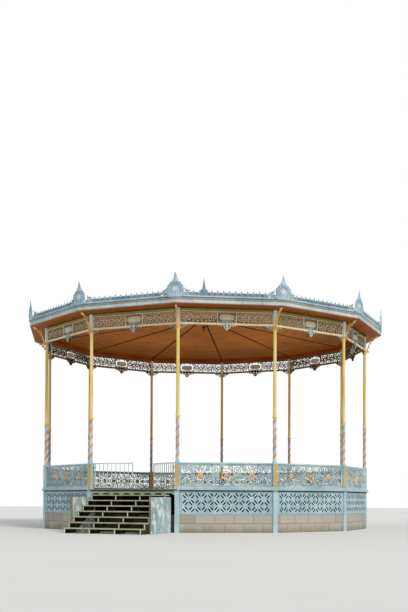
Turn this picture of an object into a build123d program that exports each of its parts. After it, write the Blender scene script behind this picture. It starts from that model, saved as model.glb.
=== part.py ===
from build123d import *
import os
from math import asin, atan2, cos, pi, radians, sin, tan

os.makedirs("parts", exist_ok=True)

# A twelve-sided cast-iron bandstand on a raised dais, in millimetres.
# The origin is on the vertical axis at ground level, +Z is up, and the stair comes down towards -Y.
# Depth is the distance from the axis, measured square to a side. A bay is one side of the building.

# Plan
side_count = 12
column_ring = 6000.0
step_angle = 360.0 / side_count
half_turn = radians(180.0 / side_count)
column_depth = column_ring * cos(half_turn)
joint_gap = 3.0
seat_gap = 0.3

# Stair and deck
riser = 170.0
riser_count = 8
going = 279.0
deck_top = riser * riser_count
deck_thickness = 38.0
deck_under = deck_top - deck_thickness
deck_overhang = 95.0
deck_depth = column_depth + deck_overhang

# Dais
lattice_height = 752.0
lattice_thickness = 25.0
lattice_inset = 35.0
lattice_strap = 64.0
lattice_columns = 14
lattice_rows = 3
lattice_stile = 80.0
lattice_rail = 51.0
plinth_top = deck_under - lattice_height
plinth_width = 350.0
plinth_recess = 10.0
plinth_depth = column_depth + lattice_inset + lattice_thickness - plinth_recess
post_width = 150.0
post_half = post_width / 2
beam_width = 80.0
beam_height = 180.0
pier_half = 300.0

# Foot moulding and balustrade
kerb_height = 91.0
kerb_width = 120.0
moulding_reach = 45.0
rail_rise = 856.0
rail_top = deck_top + rail_rise
rail_height = 45.0
rail_width = 90.0
cap_width = 180.0
panel_thickness = 30.0
panel_border = 50.0
panel_strap = 45.0
wreath_opening = 150.0
wreath_rim = 50.0
rosette_boss = 90.0
post_recess = 6.0
post_border = 18.0

# Columns
column_sides = 8
column_radius = 58.0
collar_radius = 75.0
collar_height = 130.0
base_height = 60.0
frieze_rise = 5215.0
frieze_low = deck_top + frieze_rise

# Frieze and brackets
frieze_height = 509.0
frieze_top = frieze_low + frieze_height
frieze_thickness = 50.0
frieze_lower_rail = 65.0
frieze_upper_rail = 80.0
scroll_count = 3
scroll_strap = 30.0
cartouche_width = 450.0
pendant_width = 250.0
pendant_drop = 200.0
pilaster_width = 110.0
spandrel_length = 220.0
spandrel_height = 110.0
spandrel_thickness = 20.0

# Eaves
beam_half = 80.0
soffit_rise = 20.0
soffit_thickness = 22.0
eave_low = frieze_top + soffit_rise + soffit_thickness
eave_overhang = 606.0
eave_depth = (column_ring + eave_overhang) * cos(half_turn)
fascia_height = 110.0
fascia_step = 12.0
gutter_height = 184.0
gutter_lip = 20.0
gutter_wall = 15.0
gutter_width = 156.0
gutter_back = 150.0
cresting_height = 138.0
cresting_thickness = 12.0
crest_count = 6
acroterion_radius = 283.0
acroterion_centre = 120.0
acroterion_thickness = 30.0
acroterion_height = 770.0
acroterion_lobes = 5
bracket_width = 45.0
bracket_thickness = 50.0
bracket_foot = 75.0
bracket_margin = 76.0
bracket_chords = 5

# Ceiling and roof
spring_rise = 88.0
spring_level = frieze_top + spring_rise
ceiling_rise = 732.0
ceiling_thickness = 22.0
rib_width = 50.0
rib_drop = 18.0
rib_height = 110.0
cornice_height = 120.0
cornice_depth = 42.0
crown_half = 120.0
roof_pitch = radians(10.0)
roof_thickness = 30.0
roll_width = 60.0
roll_height = 34.0
finial_height = 1013.0
finial_sides = 8
finial_radius = 150.0
lamp_sides = 8
lamp_radius = 90.0
lamp_stem = 14.0
lamp_body = 250.0
lamp_drop = 520.0

# Stair
tread_thickness = 36.0
tread_nosing = 20.0
tread_back = 6.0
cheek_inner = 1330.0
cheek_thickness = 45.0
cheek_length = 1410.0
cheek_drop = 213.0
cheek_top = deck_under - cheek_drop
cheek_post = 45.0
cheek_post_cap = 15.0
stringer_thickness = 38.0
stringer_inset = 40.0
stringer_depth = 304.0
stringer_root = 60.0
apron_height = 139.0
apron_thickness = 20.0
apron_arches = 8

# Gate
gate_clear = 8.0
gate_gap = 52.0
gate_low = deck_top + gate_gap
gate_bar = 18.0
gate_bar_count = 8
gate_stile = 30.0
gate_rail = 30.0
gate_meeting = 12.0
gate_open = 38.0
hinge_sides = 12
pin_radius = 8.0
pin_play = 0.5
eye_radius = 18.0
eye_clear = 4.0
eye_height = 44.0
hinge_levels = (gate_low + 90.0, rail_top - 170.0)
arm_thickness = 14.0
arm_width = 24.0


def half_width(depth, setback):
    """Half the width of a bay at a depth, kept clear of both corner planes by the setback."""
    return depth * tan(half_turn) - setback / cos(half_turn)


def wedge(setback):
    """The plan of one bay as a tall block that trims whatever runs past it."""
    far = 2 * column_ring
    tip = setback / sin(half_turn)
    reach = half_width(far, setback)
    plan = Polygon((0, -tip), (-reach, -far), (reach, -far), align=None)
    return Pos(0, 0, -far) * extrude(plan, amount=4 * far, dir=(0, 0, 1))


def bay_run(profile, setback):
    """A straight moulding along one bay, from (depth, height) points, with mitred ends."""
    outline = Plane.YZ * Polygon(*[(-depth, height) for depth, height in profile], align=None)
    return extrude(outline, amount=column_ring, both=True) & wedge(setback)


def bay_plate(sketch, inner_depth, thickness, setback):
    """A flat plate that stands in one bay, drawn in elevation."""
    face = Plane((0, -inner_depth, 0), x_dir=(1, 0, 0), z_dir=(0, -1, 0)) * sketch
    return extrude(face, amount=thickness, dir=(0, -1, 0)) & wedge(setback)


def corner_web(profile, thickness):
    """An upright web in the plane of a corner, from (radius, height) points."""
    outline = Plane.YZ * Polygon(*[(-radius, height) for radius, height in profile], align=None)
    return extrude(outline, amount=thickness / 2, both=True)


def corner_block(width, low, high):
    """A square post that faces outwards at a corner of the column ring."""
    return Pos(0, -column_ring, low) * extrude(Rectangle(width, width), amount=high - low)


def polygon_block(half, low, high, turn):
    """A twelve-sided block on the axis, measured across its flats."""
    plan = RegularPolygon(half, side_count, major_radius=False)
    return Pos(0, 0, low) * extrude(Rot(0, 0, turn) * plan, amount=high - low)


def at_bays(piece, bays=range(side_count)):
    """Copies of a piece in the given bays, where bay 0 holds the stair."""
    return [Rot(0, 0, step_angle * bay) * piece for bay in bays]


def at_corners(piece, corners=range(side_count)):
    """Copies of a piece at the given corners, where corners 0 and 1 stand beside the stair."""
    return [Rot(0, 0, step_angle * (corner - 0.5)) * piece for corner in corners]


def elevation_box(left, right, low, high):
    """A rectangle in elevation between two heights."""
    return Pos((left + right) / 2, (low + high) / 2) * Rectangle(right - left, high - low)


def elevation_lozenge(half_length, half_height):
    """A lozenge in elevation, about its own middle."""
    return Polygon((-half_length, 0), (0, -half_height), (half_length, 0), (0, half_height), align=None)


def turned(profile, sides):
    """A turned piece of few flat sides on the vertical axis, from (radius, height) points."""
    turns = [2 * pi * side / sides for side in range(sides)]
    rings = [[(radius * cos(turn), radius * sin(turn), height) for turn in turns] for radius, height in profile]
    faces = [Face(Wire.make_polygon(rings[0])), Face(Wire.make_polygon(rings[-1]))]
    for lower, upper in zip(rings, rings[1:]):
        for near, far in zip(range(sides), [*range(1, sides), 0]):
            faces.append(Face(Wire.make_polygon([lower[near], lower[far], upper[far], upper[near]])))
    return Solid(Shell(faces))


closed_bays = range(1, side_count)


# Dais

def stone_plinth():
    """Low walls between the piers, set back under the lattice."""
    wall = bay_run(
        [
            (plinth_depth, 0),
            (plinth_depth, plinth_top),
            (plinth_depth - plinth_width, plinth_top),
            (plinth_depth - plinth_width, 0),
        ],
        post_half,
    )
    return at_bays(wall)


def corner_piers():
    return at_corners(corner_block(post_width, 0, deck_under))


def lattice_panels():
    """Cast panels of crossing straps: a plate with diamonds cut out between the straps."""
    half = half_width(column_depth + lattice_inset, post_half)
    field_half = half - lattice_stile
    cell_width = 2 * field_half / lattice_columns
    cell_height = (lattice_height - 2 * lattice_rail) / lattice_rows
    strap_across = lattice_strap / (2 * sin(atan2(cell_height, cell_width)))
    diamond_half_width = cell_width - strap_across
    diamond = elevation_lozenge(diamond_half_width, diamond_half_width * cell_height / cell_width)
    plate = elevation_box(-half * 1.1, half * 1.1, plinth_top, deck_under)
    for row in range(1, lattice_rows):
        for column in range(1, lattice_columns):
            if (column + row) % 2 == 0:
                across = -field_half + column * cell_width
                plate -= Pos(across, plinth_top + lattice_rail + row * cell_height) * diamond
    panel = bay_plate(plate, column_depth + lattice_inset, lattice_thickness, post_half)
    return at_bays(panel, closed_bays)


def floor_beams():
    """Radial joists from the middle pier to the corner piers."""
    beam = corner_web(
        [
            (pier_half, deck_under),
            (pier_half, deck_under - beam_height),
            (column_ring - post_half, deck_under - beam_height),
            (column_ring - post_half, deck_under),
        ],
        beam_width,
    )
    return at_corners(beam)


def middle_pier():
    return [polygon_block(pier_half, 0, deck_under, 0)]


def floor_deck():
    return [polygon_block(deck_depth, deck_under, deck_top, step_angle / 2)]


# Foot moulding and balustrade

def foot_moulding():
    """The pale moulding that wraps the edge of the deck and carries the balustrade."""
    nose_low = deck_under + 0.2 * kerb_height
    nose_high = deck_top + 0.2 * kerb_height
    kerb_top = deck_top + kerb_height
    apron = bay_run(
        [
            (deck_depth, deck_under),
            (deck_depth + moulding_reach, nose_low),
            (deck_depth + moulding_reach, nose_high),
            (deck_depth + 0.4 * moulding_reach, nose_high + 0.25 * kerb_height),
            (deck_depth, kerb_top),
        ],
        joint_gap / 2,
    )
    kerb = bay_run(
        [
            (deck_depth, deck_top),
            (deck_depth, kerb_top),
            (deck_depth - kerb_width, kerb_top),
            (deck_depth - kerb_width, deck_top),
        ],
        post_half,
    )
    return at_bays(apron + kerb, closed_bays)


def corner_posts():
    """Posts with a sunk face, under the columns."""
    shaft = corner_block(post_width, deck_top, rail_top - rail_height)
    cap = corner_block(cap_width, rail_top - rail_height, rail_top)
    sunk_low = deck_top + kerb_height
    sunk_height = rail_top - rail_height - post_border - sunk_low
    sunk_width = post_width - 2 * post_border
    sunk = Box(sunk_width, post_recess, sunk_height, align=(Align.CENTER, Align.MIN, Align.MIN))
    return at_corners(shaft + cap - Pos(0, -column_ring - post_half, sunk_low) * sunk)


def balustrade_panels():
    """Openwork castings: a wreath in the middle, and on each side a rosette where two straps cross."""
    low = deck_top + kerb_height
    high = rail_top - rail_height
    middle = (low + high) / 2
    half = half_width(column_depth, post_half)
    wreath_edge = wreath_opening + wreath_rim
    field_length = half - panel_border - wreath_edge
    field_height = high - low - 2 * panel_border
    diagonal = atan2(field_height, field_length)
    above = Polygon(
        (0, rosette_boss),
        (-field_length / 2 + panel_strap / sin(diagonal), field_height / 2),
        (field_length / 2 - panel_strap / sin(diagonal), field_height / 2),
        align=None,
    )
    beside = Polygon(
        (rosette_boss, 0),
        (field_length / 2, field_height / 2 - panel_strap / cos(diagonal)),
        (field_length / 2, -field_height / 2 + panel_strap / cos(diagonal)),
        align=None,
    )
    work = elevation_box(-half * 1.1, half * 1.1, low, high)
    work -= Pos(0, middle) * RegularPolygon(wreath_opening, 6)
    for side in (-1, 1):
        rosette = Pos(side * (wreath_edge + field_length / 2), middle)
        work -= rosette * above
        work -= rosette * Rot(0, 0, 180) * above
        work -= rosette * beside
        work -= rosette * Rot(0, 0, 180) * beside
    panel = bay_plate(work, column_depth - panel_thickness / 2, panel_thickness, post_half)
    return at_bays(panel, closed_bays)


def hand_rails():
    low = rail_top - rail_height
    edge = rail_width / 2
    rail = bay_run(
        [
            (column_depth - edge, low),
            (column_depth + edge, low),
            (column_depth + edge, low + 0.7 * rail_height),
            (column_depth + 0.6 * edge, rail_top),
            (column_depth - 0.6 * edge, rail_top),
            (column_depth - edge, low + 0.7 * rail_height),
        ],
        cap_width / 2,
    )
    return at_bays(rail, closed_bays)


# Columns and frieze

def columns():
    """Slender columns with a flared foot and a collar."""
    collar_low = frieze_low - collar_height
    column = turned(
        [
            (collar_radius, rail_top),
            (column_radius, rail_top + base_height),
            (column_radius, collar_low),
            (collar_radius, collar_low + 0.2 * collar_height),
            (collar_radius, frieze_low),
        ],
        column_sides,
    )
    return at_corners(Pos(0, -column_ring, 0) * column)


def pilasters():
    return at_corners(corner_block(pilaster_width, frieze_low, frieze_top))


def frieze_panels():
    """Openwork band between two rails, with a cartouche and a pendant in the middle."""
    half = half_width(column_depth, pilaster_width / 2)
    inner_low = frieze_low + frieze_lower_rail
    inner_high = frieze_top - frieze_upper_rail
    pitch = (half - cartouche_width / 2) / scroll_count
    opening = elevation_lozenge((pitch - scroll_strap) / 2, (inner_high - inner_low) / 2)
    pendant = Polygon(
        (-pendant_width / 2, frieze_low),
        (-0.35 * pendant_width, frieze_low - 0.6 * pendant_drop),
        (0, frieze_low - pendant_drop),
        (0.35 * pendant_width, frieze_low - 0.6 * pendant_drop),
        (pendant_width / 2, frieze_low),
        align=None,
    )
    work = elevation_box(-half * 1.1, half * 1.1, frieze_low, frieze_top) + pendant
    for side in (-1, 1):
        for scroll in range(scroll_count):
            centre = side * (cartouche_width / 2 + (scroll + 0.5) * pitch)
            work -= Pos(centre, (inner_low + inner_high) / 2) * opening
    panel = bay_plate(work, column_depth - frieze_thickness / 2, frieze_thickness, pilaster_width / 2)
    return at_bays(panel)


def spandrel_brackets():
    """Small brackets under the frieze, on both sides of each column."""
    start = half_width(column_depth, 0) - collar_radius - seat_gap
    piece = Polygon(
        (start, frieze_low),
        (start - spandrel_length, frieze_low),
        (start - 0.7 * spandrel_length, frieze_low - 0.35 * spandrel_height),
        (start - 0.25 * spandrel_length, frieze_low - spandrel_height),
        (start, frieze_low - spandrel_height),
        align=None,
    )
    right = bay_plate(piece, column_depth - spandrel_thickness / 2, spandrel_thickness, 0)
    left = right.mirror(Plane.YZ)
    return at_bays(right) + at_bays(left)


# Eaves

def roof_under(depth):
    """Height of the underside of the roof boards at a depth."""
    seat_depth = eave_depth - gutter_width
    return eave_low + gutter_back + (seat_depth - depth) * tan(roof_pitch)


def roof_over(depth):
    """Height of the top of the roof at a depth."""
    return roof_under(depth) + roof_thickness / cos(roof_pitch)


def ring_beam():
    outer = column_depth + beam_half
    inner = column_depth - beam_half
    beam = bay_run(
        [(inner, frieze_top), (outer, frieze_top), (outer, roof_under(outer)), (inner, roof_under(inner))],
        joint_gap / 2,
    )
    return at_bays(beam)


def soffit_boards():
    low = frieze_top + soffit_rise
    inner = column_depth + beam_half
    outer = eave_depth - gutter_wall
    boards = bay_run(
        [(inner, low), (outer, low), (outer, low + soffit_thickness), (inner, low + soffit_thickness)],
        joint_gap / 2,
    )
    return at_bays(boards)


def eave_gutters():
    """Box gutters with a plain fascia and a flared lip that carries the cresting."""
    fascia_top = eave_low + fascia_height
    lip_top = eave_low + gutter_height
    back = eave_depth - gutter_width
    gutter = bay_run(
        [
            (back - gutter_wall, eave_low),
            (eave_depth, eave_low),
            (eave_depth, fascia_top),
            (eave_depth + fascia_step, fascia_top),
            (eave_depth + gutter_lip, lip_top),
            (eave_depth - gutter_wall, lip_top),
            (eave_depth - gutter_wall, eave_low + gutter_wall),
            (back, eave_low + gutter_wall),
            (back, roof_under(back)),
            (back - gutter_wall, roof_under(back - gutter_wall)),
        ],
        joint_gap / 2,
    )
    return at_bays(gutter)


def cresting():
    """A running crest of waves along the lip of the gutter."""
    low = eave_low + gutter_height
    half = half_width(eave_depth, acroterion_radius + seat_gap)
    pitch = 2 * half / crest_count
    band = low + 0.4 * cresting_height
    points = [(-half, low)]
    for crest in range(crest_count):
        left = -half + crest * pitch
        points.append((left, band))
        points.append((left + 0.45 * pitch, low + cresting_height))
    points.append((half, band))
    points.append((half, low))
    crest_line = Polygon(*points, align=None)
    return at_bays(bay_plate(crest_line, eave_depth - gutter_wall / 2, cresting_thickness, 0))


def acroteria():
    """Shell medallions with a spire, one over each corner of the eaves."""
    low = eave_low + gutter_height
    centre = low + acroterion_centre
    valley = 0.84 * acroterion_radius
    spire_half = 0.14 * acroterion_radius
    points = [(-acroterion_radius, low)]
    for lobe in range(acroterion_lobes):
        start = pi * (1 - lobe / acroterion_lobes)
        middle = start - pi / (2 * acroterion_lobes)
        points.append((valley * cos(start), centre + valley * sin(start)))
        if lobe == acroterion_lobes // 2:
            points.append((-spire_half, centre + acroterion_radius))
            points.append((0, low + acroterion_height))
            points.append((spire_half, centre + acroterion_radius))
        else:
            points.append((acroterion_radius * cos(middle), centre + acroterion_radius * sin(middle)))
    points.append((valley, centre))
    points.append((acroterion_radius, low))
    outer = eave_depth / cos(half_turn)
    plane = Plane((0, -outer + acroterion_thickness, 0), x_dir=(1, 0, 0), z_dir=(0, -1, 0))
    shell = extrude(plane * Polygon(*points, align=None), amount=acroterion_thickness, dir=(0, -1, 0))
    return at_corners(shell)


def eave_brackets():
    """Struts that rise upright from each collar and curve out to the corner of the eaves."""
    foot = frieze_low - bracket_foot
    rise = frieze_top + soffit_rise - foot
    start = column_ring + collar_radius + seat_gap + bracket_width / 2
    reach = column_ring + eave_overhang - bracket_margin - start
    sweep = (reach**2 + rise**2) / (2 * reach)
    points = []
    for radius in (sweep + bracket_width / 2, sweep - bracket_width / 2):
        sweep_angle = asin(min(1, rise / radius))
        arc = [sweep_angle * chord / bracket_chords for chord in range(bracket_chords + 1)]
        side = [(start + sweep - radius * cos(angle), foot + radius * sin(angle)) for angle in arc]
        points = points[::-1] + side
    return at_corners(corner_web(points, bracket_thickness))


# Ceiling and roof

def ceiling_under(depth):
    """Height of the underside of the ceiling boards at a depth."""
    edge = column_depth - beam_half
    return spring_level + (edge - depth) * ceiling_rise / edge


def ceiling_boards():
    edge = column_depth - beam_half
    slab = bay_run(
        [
            (edge, ceiling_under(edge)),
            (edge, ceiling_under(edge) + ceiling_thickness),
            (crown_half, ceiling_under(crown_half) + ceiling_thickness),
            (crown_half, ceiling_under(crown_half)),
        ],
        rib_width / 2,
    )
    return at_bays(slab)


def ceiling_ribs():
    edge = (column_depth - beam_half - cornice_depth) / cos(half_turn)
    hub = crown_half / cos(half_turn)
    drop_edge = ceiling_under(edge * cos(half_turn)) - rib_drop
    drop_hub = ceiling_under(crown_half) - rib_drop
    rib = corner_web(
        [(edge, drop_edge), (hub, drop_hub), (hub, drop_hub + rib_height), (edge, drop_edge + rib_height)],
        rib_width,
    )
    return at_corners(rib)


def inner_cornice():
    edge = column_depth - beam_half
    low = spring_level - cornice_height
    cornice = bay_run(
        [
            (edge, low),
            (edge, spring_level),
            (edge - cornice_depth, spring_level),
            (edge - cornice_depth, low + 0.6 * cornice_height),
            (edge - 0.4 * cornice_depth, low),
        ],
        rib_width / 2,
    )
    return at_bays(cornice)


def crown_post():
    low = ceiling_under(crown_half) - rib_drop
    high = roof_over(crown_half) + roll_height
    return [polygon_block(crown_half, low, high, step_angle / 2)]


def roof_panels():
    low_depth = eave_depth - gutter_width + gutter_wall
    panel = bay_run(
        [
            (low_depth, roof_under(low_depth)),
            (low_depth, roof_over(low_depth)),
            (crown_half, roof_over(crown_half)),
            (crown_half, roof_under(crown_half)),
        ],
        joint_gap / 2,
    )
    return at_bays(panel)


def hip_rolls():
    low_depth = eave_depth - gutter_width + gutter_wall
    outer = low_depth / cos(half_turn)
    hub = crown_half / cos(half_turn)
    roll = corner_web(
        [
            (outer, roof_over(low_depth)),
            (hub, roof_over(crown_half)),
            (hub, roof_over(crown_half) + roll_height),
            (outer, roof_over(low_depth) + roll_height),
        ],
        roll_width,
    )
    return at_corners(roll)


def roof_finial():
    """A spiked finial with a ball, on a plinth over the crown post."""
    low = roof_over(crown_half) + roll_height
    finial = turned(
        [
            (finial_radius, low),
            (finial_radius, low + 0.06 * finial_height),
            (0.7 * finial_radius, low + 0.12 * finial_height),
            (0.6 * finial_radius, low + 0.34 * finial_height),
            (finial_radius, low + 0.45 * finial_height),
            (finial_radius, low + 0.53 * finial_height),
            (0.4 * finial_radius, low + 0.6 * finial_height),
            (0.04 * finial_radius, low + finial_height),
        ],
        finial_sides,
    )
    return [finial]


def ceiling_lamp():
    """A small lantern on a stem under the middle of the ceiling."""
    top = ceiling_under(crown_half) - rib_drop
    low = top - lamp_drop
    lamp = turned(
        [
            (0.5 * lamp_radius, top),
            (lamp_stem, top - 2 * lamp_stem),
            (lamp_stem, low + lamp_body),
            (0.72 * lamp_radius, low + 0.9 * lamp_body),
            (lamp_radius, low + 0.72 * lamp_body),
            (lamp_radius, low + 0.52 * lamp_body),
            (0.5 * lamp_radius, low + 0.36 * lamp_body),
            (0.3 * lamp_radius, low),
        ],
        lamp_sides,
    )
    return [lamp]


# Stair

def tread_top(step):
    return deck_top - riser * step


def treads():
    """Seven boards that run the width between the two cheeks."""
    boards = []
    for step in range(1, riser_count):
        back = deck_depth + going * (step - 1) + tread_nosing + tread_back
        front = deck_depth + going * step + tread_nosing
        board = Box(2 * cheek_inner, front - back, tread_thickness, align=(Align.CENTER, Align.MAX, Align.MAX))
        boards.append(Pos(0, -back, tread_top(step)) * board)
    return boards


def stringers():
    """Four cut strings: level seats for the treads above a sloping lower edge."""
    root_low = tread_top(1) - tread_thickness - stringer_depth
    root = deck_depth - apron_thickness
    slope = riser / going
    points = [
        (root - stringer_root, root_low + stringer_root * slope),
        (root - stringer_root, deck_under),
        (root - seat_gap, deck_under),
        (root - seat_gap, tread_top(1) - tread_thickness),
    ]
    for step in range(1, riser_count):
        seat = tread_top(step) - tread_thickness
        points.append((deck_depth + going * step, seat))
        below = max(tread_top(step + 1) - tread_thickness, 0)
        points.append((deck_depth + going * step, below))
    points.append((root + root_low / slope, 0))
    outline = Plane.YZ * Polygon(*[(-depth, height) for depth, height in points], align=None)
    string = extrude(outline, amount=stringer_thickness / 2, both=True)
    outermost = cheek_inner - stringer_inset
    return [Pos(outermost * place, 0, 0) * string for place in (-1, -1 / 3, 1 / 3, 1)]


def stair_apron():
    """The board with arched edges under the front of the deck, in the stair's bay."""
    half = half_width(deck_depth - apron_thickness, post_half)
    low = deck_under - apron_height
    board = elevation_box(-half * 1.1, half * 1.1, low, deck_under)
    pitch = 2 * half / apron_arches
    arch = Polygon(
        (-0.42 * pitch, 0),
        (-0.22 * pitch, 0.4 * apron_height),
        (0.22 * pitch, 0.4 * apron_height),
        (0.42 * pitch, 0),
        align=None,
    )
    for place in range(apron_arches):
        board -= Pos(-half + (place + 0.5) * pitch, low) * arch
    return [bay_plate(board, deck_depth - apron_thickness, apron_thickness, post_half)]


def cheek(side):
    """The closed side of the stair, from the front of the deck to the lowest treads."""
    plate = Box(cheek_thickness, cheek_length, cheek_top, align=(Align.CENTER, Align.MAX, Align.MIN))
    return [Pos(side * (cheek_inner + cheek_thickness / 2), -deck_depth, 0) * plate]


def cheek_posts():
    post = Box(cheek_post, cheek_post, cheek_top + cheek_post_cap, align=(Align.CENTER, Align.MAX, Align.MIN))
    place = cheek_inner + cheek_post / 2
    return [Pos(side * place, -deck_depth - cheek_length, 0) * post for side in (-1, 1)]


# Gate

cap_corner = (column_ring - cap_width / 2) * sin(half_turn) - cap_width / 2 * cos(half_turn)
gate_pivot = cap_corner - gate_stile / 2 - gate_clear


def upright_prism(radius, height):
    """A few-sided upright rod or boss, standing on the ground plane."""
    return extrude(RegularPolygon(radius, hinge_sides), amount=height)


def gate_leaf():
    """The left leaf when shut, along +X from its pivot at the origin of the plan."""
    length = gate_pivot - gate_meeting / 2
    stile_start = eye_radius + eye_clear
    stile_height = rail_top - gate_low
    low_corner = (Align.MIN, Align.CENTER, Align.MIN)
    bar_box = Box(gate_bar, gate_bar, stile_height, align=low_corner)
    stile_box = Box(gate_stile, gate_stile, stile_height, align=low_corner)
    rail_box = Box(length - stile_start, gate_stile, gate_rail, align=low_corner)
    leaf = Pos(stile_start, 0, gate_low) * stile_box
    leaf += Pos(length - gate_stile, 0, gate_low) * stile_box
    leaf += Pos(stile_start, 0, gate_low) * rail_box
    leaf += Pos(stile_start, 0, rail_top - gate_rail) * rail_box
    pitch = (length - gate_stile - stile_start) / (gate_bar_count + 1)
    for bar in range(1, gate_bar_count + 1):
        leaf += Pos(stile_start + bar * pitch + (gate_stile - gate_bar) / 2, 0, gate_low) * bar_box
    strap_box = Box(stile_start + gate_stile / 2, gate_bar, eye_height, align=low_corner)
    for level in hinge_levels:
        eye = upright_prism(eye_radius, eye_height) + strap_box - upright_prism(pin_radius + pin_play, eye_height)
        leaf += Pos(0, 0, level + arm_thickness + pin_play) * eye
    return leaf


def left_gate():
    return [Pos(-gate_pivot, -column_depth, 0) * gate_leaf()]


def right_gate():
    shut = gate_leaf().mirror(Plane.YZ)
    return [Pos(gate_pivot, -column_depth, 0) * Rot(0, 0, -gate_open) * shut]


def gate_hinges():
    """Arms with upright pins on the two posts beside the stair."""
    hinges = []
    for level in hinge_levels:
        reach = half_width(column_depth, 0) - gate_pivot
        arm = Box(reach, arm_width, arm_thickness, align=(Align.MIN, Align.CENTER, Align.MIN))
        arm = Pos(gate_pivot, -column_depth, level) * arm & wedge(post_half)
        pin = upright_prism(pin_radius, arm_thickness + pin_play + eye_height + pin_radius)
        right = arm + Pos(gate_pivot, -column_depth, level) * (upright_prism(arm_width / 2, arm_thickness) + pin)
        hinges.append(right)
        hinges.append(right.mirror(Plane.YZ))
    return hinges


subparts = {
    "stone_plinth": stone_plinth(),
    "middle_pier": middle_pier(),
    "corner_piers": corner_piers(),
    "lattice_panels": lattice_panels(),
    "floor_beams": floor_beams(),
    "floor_deck": floor_deck(),
    "foot_moulding": foot_moulding(),
    "corner_posts": corner_posts(),
    "balustrade_panels": balustrade_panels(),
    "hand_rails": hand_rails(),
    "columns": columns(),
    "pilasters": pilasters(),
    "frieze_panels": frieze_panels(),
    "spandrel_brackets": spandrel_brackets(),
    "ring_beam": ring_beam(),
    "soffit_boards": soffit_boards(),
    "eave_gutters": eave_gutters(),
    "cresting": cresting(),
    "acroteria": acroteria(),
    "eave_brackets": eave_brackets(),
    "inner_cornice": inner_cornice(),
    "ceiling_boards": ceiling_boards(),
    "ceiling_ribs": ceiling_ribs(),
    "ceiling_lamp": ceiling_lamp(),
    "crown_post": crown_post(),
    "roof_panels": roof_panels(),
    "hip_rolls": hip_rolls(),
    "roof_finial": roof_finial(),
    "treads": treads(),
    "stringers": stringers(),
    "stair_apron": stair_apron(),
    "left_cheek": cheek(-1),
    "right_cheek": cheek(1),
    "cheek_posts": cheek_posts(),
    "left_gate": left_gate(),
    "right_gate": right_gate(),
    "gate_hinges": gate_hinges(),
}

for name, pieces in subparts.items():
    solids = [solid for piece in pieces for solid in piece.solids()]
    export_step(Compound(solids), f"parts/{name}.step")
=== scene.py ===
# %% [markdown]
# # A twelve-sided cast-iron bandstand
# The building is a ring of twelve slender columns on a raised deck. Between the columns stand cast balustrade
# panels, over them runs an openwork frieze, and the eaves carry a crest with a medallion at every corner.
# A foundry casts each of these from one pattern and repeats it round the ring, so each ornament is drawn once
# here, flat on one side, and then stood up at every side or corner.

# %% Load the solid model
from math import cos, pi, radians, sin, tan

import bmesh
import bpy
import numpy as np
from mathutils import Matrix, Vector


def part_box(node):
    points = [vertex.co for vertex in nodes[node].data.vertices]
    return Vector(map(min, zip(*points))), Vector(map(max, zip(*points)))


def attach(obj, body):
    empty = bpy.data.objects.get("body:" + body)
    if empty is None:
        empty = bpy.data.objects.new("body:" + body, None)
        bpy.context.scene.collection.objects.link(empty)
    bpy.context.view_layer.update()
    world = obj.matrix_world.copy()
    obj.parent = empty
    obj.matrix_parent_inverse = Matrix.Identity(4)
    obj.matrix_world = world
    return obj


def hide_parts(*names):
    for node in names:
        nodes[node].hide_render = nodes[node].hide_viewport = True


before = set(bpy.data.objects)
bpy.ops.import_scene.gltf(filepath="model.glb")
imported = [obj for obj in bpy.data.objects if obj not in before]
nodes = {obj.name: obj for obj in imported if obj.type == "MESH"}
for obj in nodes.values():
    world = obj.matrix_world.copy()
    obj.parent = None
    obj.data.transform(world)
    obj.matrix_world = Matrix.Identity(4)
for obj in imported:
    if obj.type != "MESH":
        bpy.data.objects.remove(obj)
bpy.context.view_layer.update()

# %% [markdown]
# The plan is a regular polygon. Depth is measured from the axis square to a side, and a side's half length
# at a depth is depth * tan(15 deg). Side 0 holds the stair, and corner 0 is the one on its left.

# %% The plan
side_count = 12
turn = 2 * pi / side_count
half_turn = turn / 2
column_ring = 6.0
column_depth = column_ring * cos(half_turn)
every_side = np.arange(side_count) * turn
panel_sides = every_side[1:]
every_corner = (np.arange(side_count) - 0.5) * turn


def half_width(depth, setback=0.0):
    """Half a side's length: depth * tan(15 deg) - setback / cos(15 deg), clear of the corner planes."""
    return depth * tan(half_turn) - setback / cos(half_turn)


print("a side between two columns is", round(2 * half_width(column_depth), 3), "m long")

# %% [markdown]
# A shape is a set of points, faces of four corners (the last is -1 for a triangle) and a paint number for each
# face. Ornaments are drawn as (across, up, out): across to the right and up as seen from outside, and out away
# from the axis. `stand` turns such a drawing to its sides, as whole arrays.

# %% Shapes as arrays
def net(rows, columns, ring=False, loop=False):
    """Faces of a grid of points, row after row. ring closes each row, loop joins the last row to the first."""
    row = np.arange(rows if loop else rows - 1)[:, None] + np.zeros((1, columns), int)
    column = np.arange(columns)[None, :] + np.zeros_like(row)
    if not ring:
        row, column = row[:, :-1], column[:, :-1]
    after, right = (row + 1) % rows, (column + 1) % columns
    corners = [row * columns + column, row * columns + right, after * columns + right, after * columns + column]
    return np.stack(corners, axis=-1).reshape(-1, 4)


def shape(points, faces, paint=0):
    """Points (n, 3), faces (m, 4) and one paint number for each face."""
    faces = np.asarray(faces, int).reshape(-1, 4)
    return np.asarray(points, float).reshape(-1, 3), faces, np.full(len(faces), paint)


def joined(*shapes):
    """Several shapes as one: each keeps its points, and its faces count on from the points before."""
    starts = np.cumsum([0] + [len(points) for points, _, _ in shapes])
    faces = [np.where(part[1] < 0, -1, part[1] + start) for part, start in zip(shapes, starts)]
    return np.concatenate([p[0] for p in shapes]), np.concatenate(faces), np.concatenate([p[2] for p in shapes])


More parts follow.
